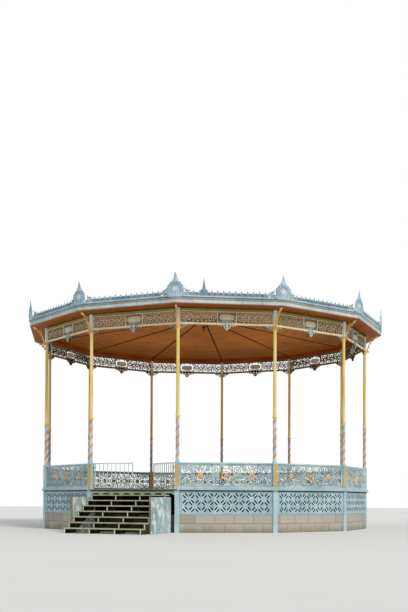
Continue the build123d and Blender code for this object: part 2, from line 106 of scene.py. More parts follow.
def copies(part, places, sizes=1.0):
    """One copy of a shape at each place: p * size + place."""
    points, faces, paint = part
    places = np.asarray(places, float).reshape(-1, 3)
    sizes = np.broadcast_to(np.asarray(sizes, float).reshape(-1, 1, 1), (len(places), 1, 1))
    spread = points[None] * sizes + places[:, None]
    starts = (np.arange(len(places)) * len(points))[:, None, None]
    many = np.where(faces[None] < 0, -1, faces[None] + starts)
    return spread.reshape(-1, 3), many.reshape(-1, 4), np.tile(paint, len(places))


print("a net of 3 rows of 4 points has", len(net(3, 4)), "faces, and", len(net(3, 4, ring=True)), "with closed rows")

# %% [markdown]
# Castings are mostly symmetric, so half of an ornament is drawn and mirrored. A drawing then stands up at every
# side by one turn for each, and a turned body goes into a drawing the same way.

# %% Mirroring and standing up
def mirrored(part, axis=0, about=0.0):
    """The shape and its mirror image across a line of the drawing."""
    points = part[0].copy()
    points[:, axis] = 2 * about - points[:, axis]
    return joined(part, (points, part[1], part[2]))


def stand(part, turns):
    """Stands a drawing up: x = a cos t + o sin t, y = a sin t - o cos t, z = u, for every turn t."""
    across, up, out = part[0].T
    turns = np.atleast_1d(turns)[:, None]
    x = across * np.cos(turns) + out * np.sin(turns)
    y = across * np.sin(turns) - out * np.cos(turns)
    points = np.stack([x, y, np.broadcast_to(up, x.shape)], axis=-1).reshape(-1, 3)
    starts = (np.arange(len(turns)) * len(up))[:, None, None]
    faces = np.where(part[1][None] < 0, -1, part[1][None] + starts).reshape(-1, 4)
    return points, faces, np.tile(part[2], len(turns))


def upright(part, out=0.0):
    """A shape turned on the vertical axis, put into a drawing at a distance out."""
    x, y, z = part[0].T
    return np.column_stack([x, z, out - y]), part[1], part[2]


flag = shape([(0, 0, 6), (1, 0, 6), (0, 1, 6)], [(0, 1, 2, -1)])
print("a triangle stood up at all sides has", len(stand(flag, every_side)[0]), "points")

# %% [markdown]
# Most of the ironwork is one of five things: a bar that follows a curve, a ring, a turned boss, a flat plate
# with chamfered edges, or a straight moulding with mitred ends. Each is a short formula over arrays. A bar's
# section is carried along a curve, which a curve object could do as well, but as an array it needs no conversion
# and a hundred bars are made at once.

# %% Bars and spirals
def bars(paths, half_widths, back, front, paint=0, crown=0.5):
    """Flat bars with chamfered fronts along curves, shape (bars, stations, 2).

    With n the curve's unit normal, a section's corners are c + s w n at the levels back, front, front, back,
    for s = -1, -crown, crown, 1.
    """
    paths = np.asarray(paths, float)
    count, stations = paths.shape[:2]
    step = np.gradient(paths, axis=1)
    along = step / np.linalg.norm(step, axis=2, keepdims=True)
    normal = np.stack([-along[..., 1], along[..., 0]], axis=2)
    width = np.broadcast_to(half_widths, (count, stations))[:, :, None, None]
    place = np.array([-1, -crown, crown, 1])[:, None]
    plan = paths[:, :, None, :] + width * place * normal[:, :, None, :]
    level = np.broadcast_to([back, front, front, back], plan.shape[:3])
    points = np.concatenate([plan, level[..., None]], axis=3)
    ends = np.array([[3, 2, 1, 0], [0, 1, 2, 3]]) + np.array([[0], [4 * (stations - 1)]])
    faces = np.concatenate([net(stations, 4, ring=True), ends])
    starts = (np.arange(count) * stations * 4)[:, None, None]
    return shape(points, faces[None] + starts, paint)


def spirals(centres, radii, starts, sweeps, stations=22, wind=0.74):
    """Curves that wind inwards: angle = start + sweep t and radius = r (1 - wind t), for t from 0 to 1."""
    t = np.linspace(0, 1, stations)
    centres, radii = np.asarray(centres, float), np.asarray(radii, float)
    angle = np.asarray(starts, float)[:, None] + np.asarray(sweeps, float)[:, None] * t
    reach = radii[:, None] * (1 - wind * t)
    return centres[:, None, :] + np.stack([reach * np.cos(angle), reach * np.sin(angle)], axis=2)


def curls(rows, stations=20, origin=(0, 0)):
    """Spirals from a table: across, up, radius, first angle and sweep, with both angles in degrees."""
    across, up, radii, starts, sweeps = np.array(rows, float).T
    centres = np.column_stack([across + origin[0], up + origin[1]])
    return spirals(centres, radii, np.radians(starts), np.radians(sweeps), stations)


print("a curl of half a turn about 0 ends at", curls([(0, 0, 1, 0, 180)])[0, -1].round(3))

# %% [markdown]
# A hoop is a ring with a chamfered front. A turned body is a profile of radius and height carried round an axis,
# as on a lathe. Small ornaments are often set out evenly round a circle.

# %% Rings and turned bodies
def hoops(centres, radii, half_width_of_bar, back, front, segments=16, paint=0):
    """Flat rings with chamfered fronts, a row of four corners at each angle."""
    centres, radii = np.asarray(centres, float), np.asarray(radii, float)
    angle = np.arange(segments) * 2 * pi / segments
    offset = np.array([-1, -0.5, 0.5, 1]) * half_width_of_bar
    reach = radii[:, None, None] + offset[None, None, :]
    x = centres[:, 0, None, None] + reach * np.cos(angle)[None, :, None]
    y = centres[:, 1, None, None] + reach * np.sin(angle)[None, :, None]
    level = np.broadcast_to([back, front, front, back], x.shape)
    starts = (np.arange(len(radii)) * segments * 4)[:, None, None]
    return shape(np.stack([x, y, level], axis=-1), net(segments, 4, ring=True, loop=True)[None] + starts, paint)


def lathe(profile, sides, paint=0):
    """A turned body: (r cos a, r sin a, h) for each (r, h) of the profile, closed by a fan at both ends."""
    profile = np.asarray(profile, float)
    angle = np.arange(sides) * 2 * pi / sides
    radius, height = profile[:, 0, None], np.broadcast_to(profile[:, 1, None], (len(profile), sides))
    points = np.stack([radius * np.cos(angle), radius * np.sin(angle), height], axis=-1).reshape(-1, 3)
    poles = np.array([[0, 0, profile[0, 1]], [0, 0, profile[-1, 1]]])
    here = np.arange(sides)
    there = np.roll(here, -1)
    top, none = (len(profile) - 1) * sides, np.full(sides, -1)
    low_fan = np.column_stack([there, here, np.full(sides, len(points)), none])
    high_fan = np.column_stack([here + top, there + top, np.full(sides, len(points) + 1), none])
    faces = np.concatenate([net(len(profile), sides, ring=True), low_fan, high_fan])
    return shape(np.concatenate([points, poles]), faces, paint)


def on_circle(count, radius=1.0, start=0.0):
    """Places round a circle: (r cos a, r sin a) for a = start + 2 pi i / count."""
    angle = np.arange(count) * 2 * pi / count + start
    return radius * np.stack([np.cos(angle), np.sin(angle)], axis=1)


def at_level(places, level):
    """Places (across, up) of a drawing, all at one level out."""
    places = np.asarray(places, float).reshape(-1, 2)
    return np.column_stack([places, np.full(len(places), level)])


print("a turned body of 2 rows and 8 sides has", len(lathe([(1.0, 0.0), (0.5, 1.0)], 8)[1]), "faces")

# %% [markdown]
# Plates and mouldings frame the ornaments. A plate has a chamfer along its front edge. A moulding is an outline in
# depth and height that runs along a side and ends in the planes through its corners. The last helper gives the
# faces that lie deep in a casting a darker paint, as painted shade, since little light reaches them there.

# %% Plates, mouldings and shaded depths
def plates(edges, back, front, chamfer, paint=0):
    """Plates from (left, right, low, high): an outline at the back and in front, and one inset by the chamfer."""
    left, right, low, high = np.asarray(edges, float).reshape(-1, 4).T
    rows = []
    for inset, level in ((0, back), (0, front - chamfer), (chamfer, front)):
        x = np.stack([left + inset, right - inset, right - inset, left + inset], axis=1)
        y = np.stack([low + inset, low + inset, high - inset, high - inset], axis=1)
        rows.append(np.stack([x, y, np.full_like(x, level)], axis=2))
    points = np.stack(rows, axis=1)
    faces = np.concatenate([net(3, 4, ring=True), [[3, 2, 1, 0], [8, 9, 10, 11]]])
    starts = (np.arange(len(left)) * 12)[:, None, None]
    return shape(points, faces[None] + starts, paint)


def frame_edges(left, right, low, high, stile, rail):
    """The four plates of a frame: two rails over the whole width, and two stiles between them."""
    return [
        (left, right, low, low + rail), (left, right, high - rail, high),
        (left, left + stile, low + rail, high - rail), (right - stile, right, low + rail, high - rail),
    ]


def moulding(profile, setback, paint=0):
    """A straight moulding along a side: its (depth, height) outline, mitred at half_width(depth) either way."""
    depth, height = np.asarray(profile, float).T
    ends = [np.column_stack([sign * half_width(depth, setback), height, depth]) for sign in (-1, 1)]
    count = len(depth)
    here = np.arange(count)
    there, none = np.roll(here, -1), np.full(count, -1)
    wall = np.column_stack([here, there, there + count, here + count])
    left_cap = np.column_stack([there, here, np.full(count, 2 * count), none])
    right_cap = np.column_stack([here + count, there + count, np.full(count, 2 * count + 1), none])
    points = np.concatenate([*ends, [ends[0].mean(axis=0)], [ends[1].mean(axis=0)]])
    return shape(points, np.concatenate([wall, left_cap, right_cap]), paint)


def shaded_below(part, level, paint):
    """Faces whose middle lies deeper than a level get another, darker paint: painted shade, so that the holes of a
    casting look dark.
    """
    points, faces, paints = part
    depth = np.where(faces < 0, np.nan, points[faces, 2])
    return points, faces, np.where(np.nanmean(depth, axis=1) < level, paint, paints)


square_outline = [(6.0, 0.0), (6.1, 0.0), (6.1, 0.1), (6.0, 0.1)]
print("a moulding with 4 edges has", len(moulding(square_outline, 0.0)[1]), "faces")

# %% [markdown]
# A finished piece is one mesh that rides on a body of the solid model. Its normals are recalculated, because
# mirrored copies come out inside out, and its edges are shaded sharp above a given angle.

# %% Finished pieces
made = {}


def piece(name, part, finishes, stands_for=(), body="structure", smooth=30, ribbon=None):
    """One object from a shape, in place, with its finishes in the order of the paint numbers."""
    points, faces, paint = part
    corners = faces.ravel()
    corners = corners[corners >= 0]
    sides = (faces >= 0).sum(axis=1)
    mesh = bpy.data.meshes.new(name)
    mesh.vertices.add(len(points))
    mesh.vertices.foreach_set("co", points.astype(np.float32).ravel())
    mesh.loops.add(len(corners))
    mesh.loops.foreach_set("vertex_index", corners.astype(np.int32))
    mesh.polygons.add(len(faces))
    mesh.polygons.foreach_set("loop_start", (np.cumsum(sides) - sides).astype(np.int32))
    mesh.polygons.foreach_set("material_index", paint.astype(np.int32))
    mesh.update(calc_edges=True)
    mesh.validate()
    if ribbon is not None:
        mesh.attributes.new("ribbon", "FLOAT", "POINT").data.foreach_set("value", ribbon.astype(np.float32))
    shell = bmesh.new()
    shell.from_mesh(mesh)
    bmesh.ops.recalc_face_normals(shell, faces=shell.faces)
    shell.to_mesh(mesh)
    shell.free()
    mesh.shade_smooth()
    mesh.set_sharp_from_angle(angle=radians(smooth))
    thing = bpy.data.objects.new(name, mesh)
    bpy.context.scene.collection.objects.link(thing)
    for finish in finishes:
        mesh.materials.append(finish)
    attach(thing, body)
    if stands_for:
        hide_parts(*stands_for)
    made[name] = int((sides - 2).sum())
    print(name + ":", made[name], "triangles")
    return thing


print("solids that a piece may ride on or stand for:", len(nodes))

# %% [markdown]
# Materials are written as sums. A `Signal` wraps a socket of the node tree, and its operators add Math nodes,
# so a pattern reads like its formula. The reflected forms let a plain number stand first, as in 1.0 - mask.

# %% Signals
class Signal:
    """A number or vector in a material, which adds and multiplies as numbers do."""

    def __init__(self, tree, socket):
        self.tree = tree
        self.socket = socket

    def maths(self, operation, *values):
        """The result of one Math node."""
        node = self.tree.nodes.new("ShaderNodeMath")
        node.operation = operation
        for place, value in zip(node.inputs, values):
            plug(self.tree, place, value)
        return Signal(self.tree, node.outputs[0])

    def __add__(self, other):
        return self.maths("ADD", self, other)

    def __radd__(self, other):
        return self.maths("ADD", other, self)

    def __sub__(self, other):
        return self.maths("SUBTRACT", self, other)

    def __rsub__(self, other):
        return self.maths("SUBTRACT", other, self)

    def __mul__(self, other):
        return self.maths("MULTIPLY", self, other)

    def __rmul__(self, other):
        return self.maths("MULTIPLY", other, self)

    def __truediv__(self, other):
        return self.maths("DIVIDE", self, other)

    def __rtruediv__(self, other):
        return self.maths("DIVIDE", other, self)


def plug(tree, socket, value):
    """Joins a signal to a socket, or sets the socket to a plain value."""
    if isinstance(value, Signal):
        tree.links.new(value.socket, socket)
    else:
        socket.default_value = value


print("a signal takes numbers and signals on both sides of + - * and /")

# %% [markdown]
# Colours are written as they look on a screen, from 0 to 255, and the shader needs them linear.

# %% Colours
def shade(red, green, blue):
    """A colour from 0 to 255 as seen on a screen, made linear: ((v + 0.055) / 1.055) ** 2.4."""
    seen = np.array([red, green, blue]) / 255
    linear = np.where(seen <= 0.04045, seen / 12.92, ((seen + 0.055) / 1.055) ** 2.4)
    return (*map(float, linear), 1.0)


print("128 on a screen is", round(shade(128, 128, 128)[0], 3), "in linear light")

# %% [markdown]
# A `Finish` is one material. Its `node` method adds any node in one call, and a few patterns that every paint
# uses have methods of their own. `side_place` folds the plan round the axis, so that a pattern can follow the
# sides: angle = atan2(x, -y), the side's number is angle / 30 deg rounded, and along and depth are the sine and
# cosine of what is left, times the radius.

# %% Finishes
class Finish:
    """One material, with its object coordinates ready as `place`."""

    def __init__(self, name, metallic=0.0, specular=0.5):
        self.material = bpy.data.materials.new(name)
        self.material.use_nodes = True
        self.tree = self.material.node_tree
        self.shader = self.tree.nodes["Principled BSDF"]
        self.shader.inputs["Metallic"].default_value = metallic
        self.shader.inputs["Specular IOR Level"].default_value = specular
        self.place = self.node("ShaderNodeTexCoord", out="Object")

    def node(self, kind, settings=None, sockets=None, out=0):
        """Adds a node: its settings first, then its sockets. Gives the named output."""
        node = self.tree.nodes.new(kind)
        for name, value in (settings or {}).items():
            setattr(node, name, value)
        for name, value in (sockets or {}).items():
            plug(self.tree, node.inputs[name], value)
        return Signal(self.tree, node.outputs[out])

    def noise(self, scale, detail=3.0, stretch=(1.0, 1.0, 1.0)):
        """Noise over the place, from 0 to 1, finer along an axis that is stretched more."""
        where = self.node("ShaderNodeVectorMath", {"operation": "MULTIPLY"}, {0: self.place, 1: stretch})
        return self.node("ShaderNodeTexNoise", {}, {"Vector": where, "Scale": scale, "Detail": detail})

    def between(self, value, low, high):
        """0 below low, 1 above high and smooth between."""
        sockets = {"Value": value, "From Min": low, "From Max": high}
        return self.node("ShaderNodeMapRange", {"interpolation_type": "SMOOTHSTEP"}, sockets)

    def mix(self, factor, first, second):
        """A colour mix: first where the factor is 0, second where it is 1."""
        return self.node("ShaderNodeMix", {"data_type": "RGBA"}, {0: factor, 6: first, 7: second}, out=2)

    def split(self):
        """The three coordinates of the place."""
        return [self.node("ShaderNodeSeparateXYZ", {}, {0: self.place}, out=axis) for axis in range(3)]

    def side_place(self):
        """(along, depth): the place measured along its own side, and out from the axis square to that side."""
        x, y, _ = self.split()
        angle = x.maths("ARCTAN2", x, y * -1.0)
        radius = x.maths("SQRT", x * x + y * y)
        number = x.maths("ROUND", angle / turn)
        folded = angle - number * turn
        along = radius * folded.maths("SINE", folded)
        depth = radius * folded.maths("COSINE", folded)
        return along, depth, number

    def surface(self, colour, roughness, height, distance):
        """Joins colour, roughness and a bump of the given distance to the shader."""
        sockets = {"Height": height, "Distance": distance, "Strength": 1.0}
        normal = self.node("ShaderNodeBump", {}, sockets)
        for name, value in (("Base Color", colour), ("Roughness", roughness), ("Normal", normal)):
            plug(self.tree, self.shader.inputs[name], value)
        print(self.material.name + ":", len(self.tree.nodes), "nodes")
        return self.material


print("a finish offers", [name for name in vars(Finish) if not name.startswith("_")])

# %% [markdown]
# Old oil paint on cast iron is never one colour. It has faded in broad patches, the sand-cast skin shows
# through it as a fine grain, rain leaves streaks down it, and small chips show what lies beneath.

# %% Paint on iron
def iron_paint(name, colour, faded, grime, chips=0.5, roughness=0.42, tint=None):
    """Paint with patches of fading, streaks of grime and chips, all by noise over the object's place."""
    colour, faded, grime = (shade(*tone) for tone in (colour, faded, grime))
    finish = Finish(name, specular=0.35)
    patch = finish.between(finish.noise(1.7, 4.0), 0.38, 0.66)
    mottle = finish.noise(26.0, 4.0)
    coat = finish.mix(patch * 0.75, colour, faded)
    if tint is not None:
        coat = finish.mix(finish.between(finish.noise(5.5, 3.0), 0.48, 0.64) * 0.6, coat, shade(*tint))
    coat = finish.mix(finish.between(mottle, 0.4, 0.75) * 0.35, coat, faded)
    streak = finish.between(finish.noise(1.0, 5.0, (16.0, 16.0, 1.6)), 0.52, 0.74)
    coat = finish.mix(streak * 0.4, coat, grime)
    chip = finish.between(finish.noise(38.0, 5.0), 0.70, 0.73) * chips
    coat = finish.mix(chip, coat, shade(96, 70, 52))
    skin = finish.noise(210.0, 3.0)
    height = skin * 0.35 + mottle * 0.5 - chip * 0.6
    return finish.surface(coat, streak * 0.18 + roughness + chip * 0.2, height, 0.0016)


print("chips show the primer:", np.round(shade(96, 70, 52)[:3], 3))

# %% [markdown]
# The paints of this bandstand, from the photograph. Pale blue-green covers what is near the ground, cream and
# ochre the columns, olive and cream the frieze, and blue-grey what stands against the sky.

# %% The paints
pale_paint = iron_paint("pale_blue_paint", (150, 182, 188), (178, 202, 208), (84, 102, 102))
kerb_paint = iron_paint("kerb_paint", (166, 198, 204), (204, 222, 226), (104, 120, 122))
pilaster_paint = iron_paint("pilaster_paint", (236, 250, 232), (244, 250, 240), (176, 188, 164), 0.2)
gate_paint = iron_paint("gate_paint", (178, 208, 202), (214, 228, 224), (110, 130, 124), 0.4)
openwork_paint = iron_paint("openwork_paint", (148, 182, 180), (206, 220, 214), (78, 104, 98), tint=(164, 176, 214))
cream_paint = iron_paint("cream_paint", (232, 202, 106), (238, 217, 148), (170, 136, 70), 0.3)
rail_cream = iron_paint("rail_cream_paint", (224, 212, 172), (234, 226, 198), (142, 124, 86), 0.3)
filigree_paint = iron_paint("filigree_paint", (248, 232, 172), (252, 242, 208), (158, 126, 74), 0.2)
ochre_paint = iron_paint("ochre_paint", (234, 168, 68), (244, 196, 112), (164, 104, 44), 0.35)
post_ochre = iron_paint("post_ochre", (200, 168, 98), (212, 188, 126), (140, 108, 58), 0.35)
rosette_paint = iron_paint("rosette_paint", (234, 154, 52), (242, 186, 110), (160, 92, 36), 0.3)
petal_paint = iron_paint("petal_paint", (240, 186, 126), (246, 222, 196), (176, 112, 62), 0.3)
tread_post_paint = iron_paint("tread_post_paint", (128, 102, 80), (156, 136, 114), (76, 56, 38), 0.8)
shield_paint = iron_paint("shield_paint", (196, 206, 184), (222, 226, 208), (126, 124, 92), 0.3)
olive_paint = iron_paint("olive_paint", (148, 138, 66), (166, 160, 96), (90, 80, 38), 0.3)
fascia_paint = iron_paint("fascia_paint", (184, 198, 200), (214, 220, 214), (140, 134, 126), 0.3)
crest_paint = iron_paint("blue_grey_paint", (104, 138, 156), (146, 172, 184), (60, 82, 100), tint=(128, 148, 180))
# Painted shadow: the darker blue for the gap under the cresting and its hollows, the sea blue for the medallions'
# groove and ring eyes.
shadow_blue_paint = iron_paint("painted_shadow_blue", (56, 78, 92), (76, 98, 108), (36, 46, 54), 0.3)
groove_shade_paint = iron_paint("painted_shade_sea_blue", (84, 124, 138), (116, 150, 160), (52, 76, 88), 0.3)
medal_paint = iron_paint("medal_paint", (152, 182, 196), (192, 212, 222), (90, 112, 130), tint=(168, 180, 208))
gilding = iron_paint("gilded_line", (136, 112, 56), (164, 138, 80), (88, 66, 32), 0.3, 0.3)
stair_paint = iron_paint("stair_paint", (164, 162, 132), (196, 194, 168), (84, 80, 62), 0.8, 0.55)
# Painted shade: umber for the deep faces of castings, dark olive for their backs, and black for what lies in shadow.
shaded_wall_paint = iron_paint("painted_shade_umber", (58, 44, 26), (76, 58, 36), (34, 26, 16), 0.2, 0.6)
shaded_back_paint = iron_paint("painted_shade_backs", (126, 106, 66), (146, 126, 84), (78, 64, 38), 0.3, 0.5)
shaded_paint = iron_paint("painted_shade_black", (34, 36, 34), (46, 48, 44), (22, 22, 20), 0.2, 0.8)
apron_paint = iron_paint("apron_paint", (138, 166, 146), (166, 190, 172), (78, 92, 74), 0.6, 0.5)
hinge_iron = iron_paint("hinge_iron", (112, 126, 128), (140, 152, 152), (70, 62, 54), 1.0, 0.5)
lamp_black = iron_paint("lamp_iron", (44, 38, 34), (66, 58, 50), (26, 22, 20), 0.3, 0.35)
lamp_brown = iron_paint("lamp_drop", (120, 72, 36), (150, 98, 54), (70, 42, 22), 0.3, 0.3)

# %% [markdown]
# The cheeks of the stair take knocks and splashes. Ragged white patches, where broad noise + 0.4 * (fine
# noise - 0.5) is above a half, are painted highlights, sunk a little in the bump. Moss grows in others, rust
# comes through in small spots and the whole is streaked from top to foot.

# %% Cheek paint with painted highlights
def highlit_cheek_paint():
    """Blue paint with painted highlight patches, moss, rust and streaks, each a threshold on noise."""
    finish = Finish("highlit_cheek_paint", specular=0.3)
    tone = finish.between(finish.noise(1.6, 4.0), 0.36, 0.64)
    coat = finish.mix(tone, shade(138, 170, 178), shade(182, 202, 206))
    speckle = (finish.noise(24.0, 6.0) - 0.5) * 0.4
    # Painted highlight: ragged pale patches on the cheeks.
    highlight_patch = finish.between(finish.noise(3.6, 6.0, (1.0, 1.0, 0.7)) + speckle, 0.48, 0.58)
    coat = finish.mix(highlight_patch * 0.9, coat, shade(230, 232, 226))
    moss = finish.between(finish.noise(5.2, 6.0, (1.3, 1.3, 0.6)) - speckle, 0.58, 0.68)
    coat = finish.mix(moss * 0.6, coat, shade(92, 106, 92))
    rust = finish.between(finish.noise(11.0, 5.0), 0.63, 0.69)
    coat = finish.mix(rust * 0.7, coat, shade(156, 104, 84))
    streak = finish.between(finish.noise(1.0, 5.0, (14.0, 14.0, 1.2)), 0.52, 0.72)
    coat = finish.mix(streak * 0.35, coat, shade(96, 108, 100))
    height = finish.noise(180.0, 3.0) * 0.3 - highlight_patch * 0.4 + moss * 0.3 - rust * 0.3
    return finish.surface(coat, moss * 0.25 + 0.5, height, 0.0012)


cheek_paint = highlit_cheek_paint()

# %% [markdown]
# The lower part of each column is painted with an ochre ribbon that winds up a pale ground. The mesh carries
# the wave cos(angle - 2 pi height / pitch) as an attribute, and the ribbon lies where the wave is above 0.3.

# %% The winding ribbon
def ribbon_paint():
    """Pale blue and warm ochre, mixed where the ribbon's wave crosses 0.3, with a slightly wandering edge."""
    finish = Finish("ribbon_paint", specular=0.35)
    wave = finish.node("ShaderNodeAttribute", {"attribute_name": "ribbon"}, out="Fac")
    edge = finish.between(wave + (finish.noise(30.0, 3.0) - 0.5) * 0.2, 0.22, 0.40)
    patch = finish.between(finish.noise(2.2, 4.0), 0.4, 0.66)
    warm = finish.mix(patch, shade(214, 152, 74), shade(226, 178, 106))
    cool = finish.mix(patch, shade(166, 188, 208), shade(206, 216, 230))
    coat = finish.mix(edge, cool, warm)
    streak = finish.between(finish.noise(1.0, 5.0, (16.0, 16.0, 1.6)), 0.5, 0.74)
    coat = finish.mix(streak * 0.35, coat, shade(120, 110, 92))
    return finish.surface(coat, streak * 0.2 + 0.4, finish.noise(190.0, 3.0), 0.0012)


ribbon_finish = ribbon_paint()

# %% [markdown]
# The ceiling, the soffit and the deck are boards. Board number = floor(depth / board width), and each board
# gets its own tone, a dark joint and a grain stretched along it. On the ceiling the boards run parallel to
# the sides, so depth is folded round the axis; on the deck they run straight across. The ceiling's outer
# boards get painted shade: a second mask on depth mixes in the dark tone there.

# %% Boards
def boarded(name, colours, board, around=True, gloss=0.4, distance=0.004, painted_shade_from=None):
    """Boards of three tones with open joints, laid round the axis or straight along X."""
    light, middle, dark = (shade(*tone) for tone in colours)
    finish = Finish(name, specular=0.06)
    if around:
        along, depth, number = finish.side_place()
    else:
        along, depth, _ = finish.split()
        number = along * 0.0
    count = depth / board
    index = count.maths("FLOOR", count)
    across = count.maths("FRACT", count)
    key = finish.node("ShaderNodeCombineXYZ", {}, {0: index, 1: number, 2: 0.0})
    tone = finish.node("ShaderNodeTexWhiteNoise", {"noise_dimensions": "3D"}, {"Vector": key})
    fibre = finish.node("ShaderNodeCombineXYZ", {}, {0: along * 1.2, 1: depth * 34.0, 2: index * 3.7})
    grain = finish.node("ShaderNodeTexNoise", {}, {"Vector": fibre, "Scale": 1.0, "Detail": 6.0})
    coat = finish.mix(tone, middle, light)
    coat = finish.mix(finish.between(grain, 0.42, 0.7) * 0.55, coat, dark)
    coat = finish.mix(finish.between(finish.noise(1.1, 3.0), 0.5, 0.75) * 0.35, coat, dark)
    # Painted shade: the outer boards of the ceiling darken towards the eaves.
    if painted_shade_from is not None:
        near, far, amount = painted_shade_from
        wander = depth + (finish.noise(0.8, 3.0) - 0.5) * 0.7
        coat = finish.mix(finish.between(wander, near, far) * amount, coat, shade(58, 32, 12))
    edge = across.maths("PINGPONG", across, 0.5)
    joint = 1.0 - finish.between(edge, 0.01, 0.05)
    coat = finish.mix(joint * 0.8, coat, shade(36, 24, 16))
    return finish.surface(coat, grain * 0.25 + gloss, grain * 0.12 - joint, distance)


ceiling_tones = ((238, 142, 22), (220, 124, 16), (156, 82, 10))
ceiling_finish = boarded("ceiling_boards", ceiling_tones, 0.125, painted_shade_from=(3.2, 5.0, 0.42))
soffit_finish = boarded("soffit_boards", ((190, 108, 28), (168, 90, 20), (112, 56, 12)), 0.115)
cornice_finish = boarded("cornice_timber", ((198, 88, 36), (174, 74, 28), (116, 50, 18)), 0.042)
deck_colours = ((150, 128, 112), (128, 106, 94), (84, 68, 60))
deck_finish = boarded("deck_boards", deck_colours, 0.14, around=False, gloss=0.6)
beam_colours = ((112, 84, 60), (92, 66, 48), (56, 40, 30))
beam_finish = boarded("structural_timber", beam_colours, 0.3, around=False, gloss=0.65, distance=0.003)

# %% [markdown]
# The plinth is dressed stone. Its courses are drawn by a brick pattern over (along the side, height), with
# mortar a little sunk, and the stone itself is pitted and darker near the ground. Under the stair, on side 0,
# it is painted nearly black as painted shade.

# %% Stone and sheet metal
def dressed_stone():
    """Blocks in courses, pitted, damp at the foot, and painted nearly black on side 0 as painted shade under the
    stair.
    """
    finish = Finish("dressed_stone", specular=0.3)
    along, _, number = finish.side_place()
    height = finish.split()[2]
    plan = finish.node("ShaderNodeCombineXYZ", {}, {0: along + number * 0.37, 1: height, 2: 0.0})
    blocks = {"Vector": plan, "Scale": 1.0, "Mortar Size": 0.006, "Brick Width": 0.62, "Row Height": 0.285}
    blocks.update({"Color1": shade(188, 182, 168), "Color2": shade(164, 160, 150), "Mortar": shade(120, 116, 106)})
    brick = finish.node("ShaderNodeTexBrick", {}, blocks, out="Color")
    mortar = finish.node("ShaderNodeTexBrick", {}, blocks, out="Fac")
    pit = finish.noise(46.0, 6.0)
    coat = finish.mix(finish.between(pit, 0.45, 0.8) * 0.5, brick, shade(120, 114, 102))
    damp = 1.0 - finish.between(height + finish.noise(2.2, 4.0) * 0.3, 0.12, 0.42)
    coat = finish.mix(damp * 0.55, coat, shade(92, 92, 76))
    # Painted shade: side 0, under the stair, is nearly black.
    stair_shade = number.maths("COMPARE", number, 0.0, 0.5)
    coat = finish.mix(stair_shade * 0.88, coat, shade(30, 31, 24))
    return finish.surface(coat, pit * 0.2 + 0.72, pit * 0.5 - mortar, 0.006)


def zinc_sheet():
    """Zinc with clouds of two greys and faint darker patches."""
    finish = Finish("zinc_sheet", metallic=0.35)
    cloud = finish.between(finish.noise(0.9, 5.0), 0.35, 0.7)
    coat = finish.mix(cloud, shade(132, 142, 148), shade(168, 176, 180))
    run = finish.between(finish.noise(1.0, 5.0, (5.0, 5.0, 5.0)), 0.5, 0.75)
    coat = finish.mix(run * 0.4, coat, shade(98, 106, 108))
    return finish.surface(coat, cloud * 0.15 + 0.48, finish.noise(14.0, 3.0), 0.003)


stone_finish = dressed_stone()
zinc_finish = zinc_sheet()

# %% [markdown]
# Many castings of the solid model already have their final shape. They get their paint, and a small bevel
# where a straight edge would otherwise look cut from card.

# %% Paint for the solids that stay
def dress(names, finish, bevel=0.0):
    """Gives solid nodes a finish, and softens their edges by a bevel of that width."""
    for name in names:
        node = nodes[name]
        node.data.materials.clear()
        node.data.materials.append(finish)
        if bevel:
            softening = node.modifiers.new("softened edges", "BEVEL")
            softening.width = bevel
            softening.segments = 2
            softening.limit_method = "ANGLE"
            softening.harden_normals = True


dress(["stone_plinth", "middle_pier"], stone_finish, 0.008)
dress(["corner_piers", "corner_posts"], kerb_paint, 0.005)
dress(["foot_moulding"], pale_paint, 0.005)
dress(["pilasters"], pilaster_paint, 0.005)
dress(["left_gate", "right_gate"], gate_paint, 0.002)
dress(["left_cheek", "right_cheek"], cheek_paint, 0.006)
dress(["cheek_posts"], tread_post_paint, 0.006)
dress(["gate_hinges"], hinge_iron, 0.001)
dress(["treads"], stair_paint, 0.004)
dress(["stair_apron"], apron_paint, 0.003)
dress(["floor_beams", "ring_beam", "crown_post", "ceiling_ribs"], beam_finish, 0.004)
dress(["floor_deck"], deck_finish, 0.006)
dress(["soffit_boards"], soffit_finish)
dress(["ceiling_boards"], ceiling_finish)
dress(["inner_cornice"], cornice_finish, 0.004)
dress(["eave_gutters"], fascia_paint, 0.003)
dress(["roof_panels", "hip_rolls"], zinc_finish, 0.004)
print("solids with a softened edge:", sum(bool(node.modifiers) for node in nodes.values()))

# %% [markdown]
# ## Columns
# A column is cast hollow and thin. Its foot is a small attic base, its lowest 1.4 m carries a raised ribbon,
# a ring closes that zone, and a collar holds the eave bracket. Radius is a function of height and angle:
# r = r0(height) + 4 mm * cos(angle - 2 pi height / pitch) within the ribbon zone.

# %% Outline of a column
ribbon_low, ribbon_high, ribbon_pitch, ribbon_relief = 2.290, 3.640, 0.280, 0.004
collar_low = 6.45
foot_rows = [
    (2.216, 0.076), (2.234, 0.077), (2.242, 0.070), (2.250, 0.066), (2.262, 0.071), (2.274, 0.064), (2.284, 0.056),
]
ring_rows = [(3.648, 0.056), (3.654, 0.068), (3.668, 0.077), (3.682, 0.077), (3.696, 0.068), (3.704, 0.055)]
shaft_rows = [(4.6, 0.0545), (5.5, 0.053), (6.405, 0.052)]
collar_rows = [
    (6.412, 0.062), (6.428, 0.066), (6.445, 0.060), (6.456, 0.074), (6.520, 0.077), (6.540, 0.070), (6.575, 0.078),
]
ribbon_rows = [(height, 0.0565) for height in np.linspace(ribbon_low, ribbon_high, 56)]
rows = np.array(foot_rows + ribbon_rows + ring_rows + shaft_rows + collar_rows)
heights, radii = rows[:, 0], rows[:, 1]
print("a column's outline has", len(rows), "rows, from", heights[0], "to", heights[-1], "m")

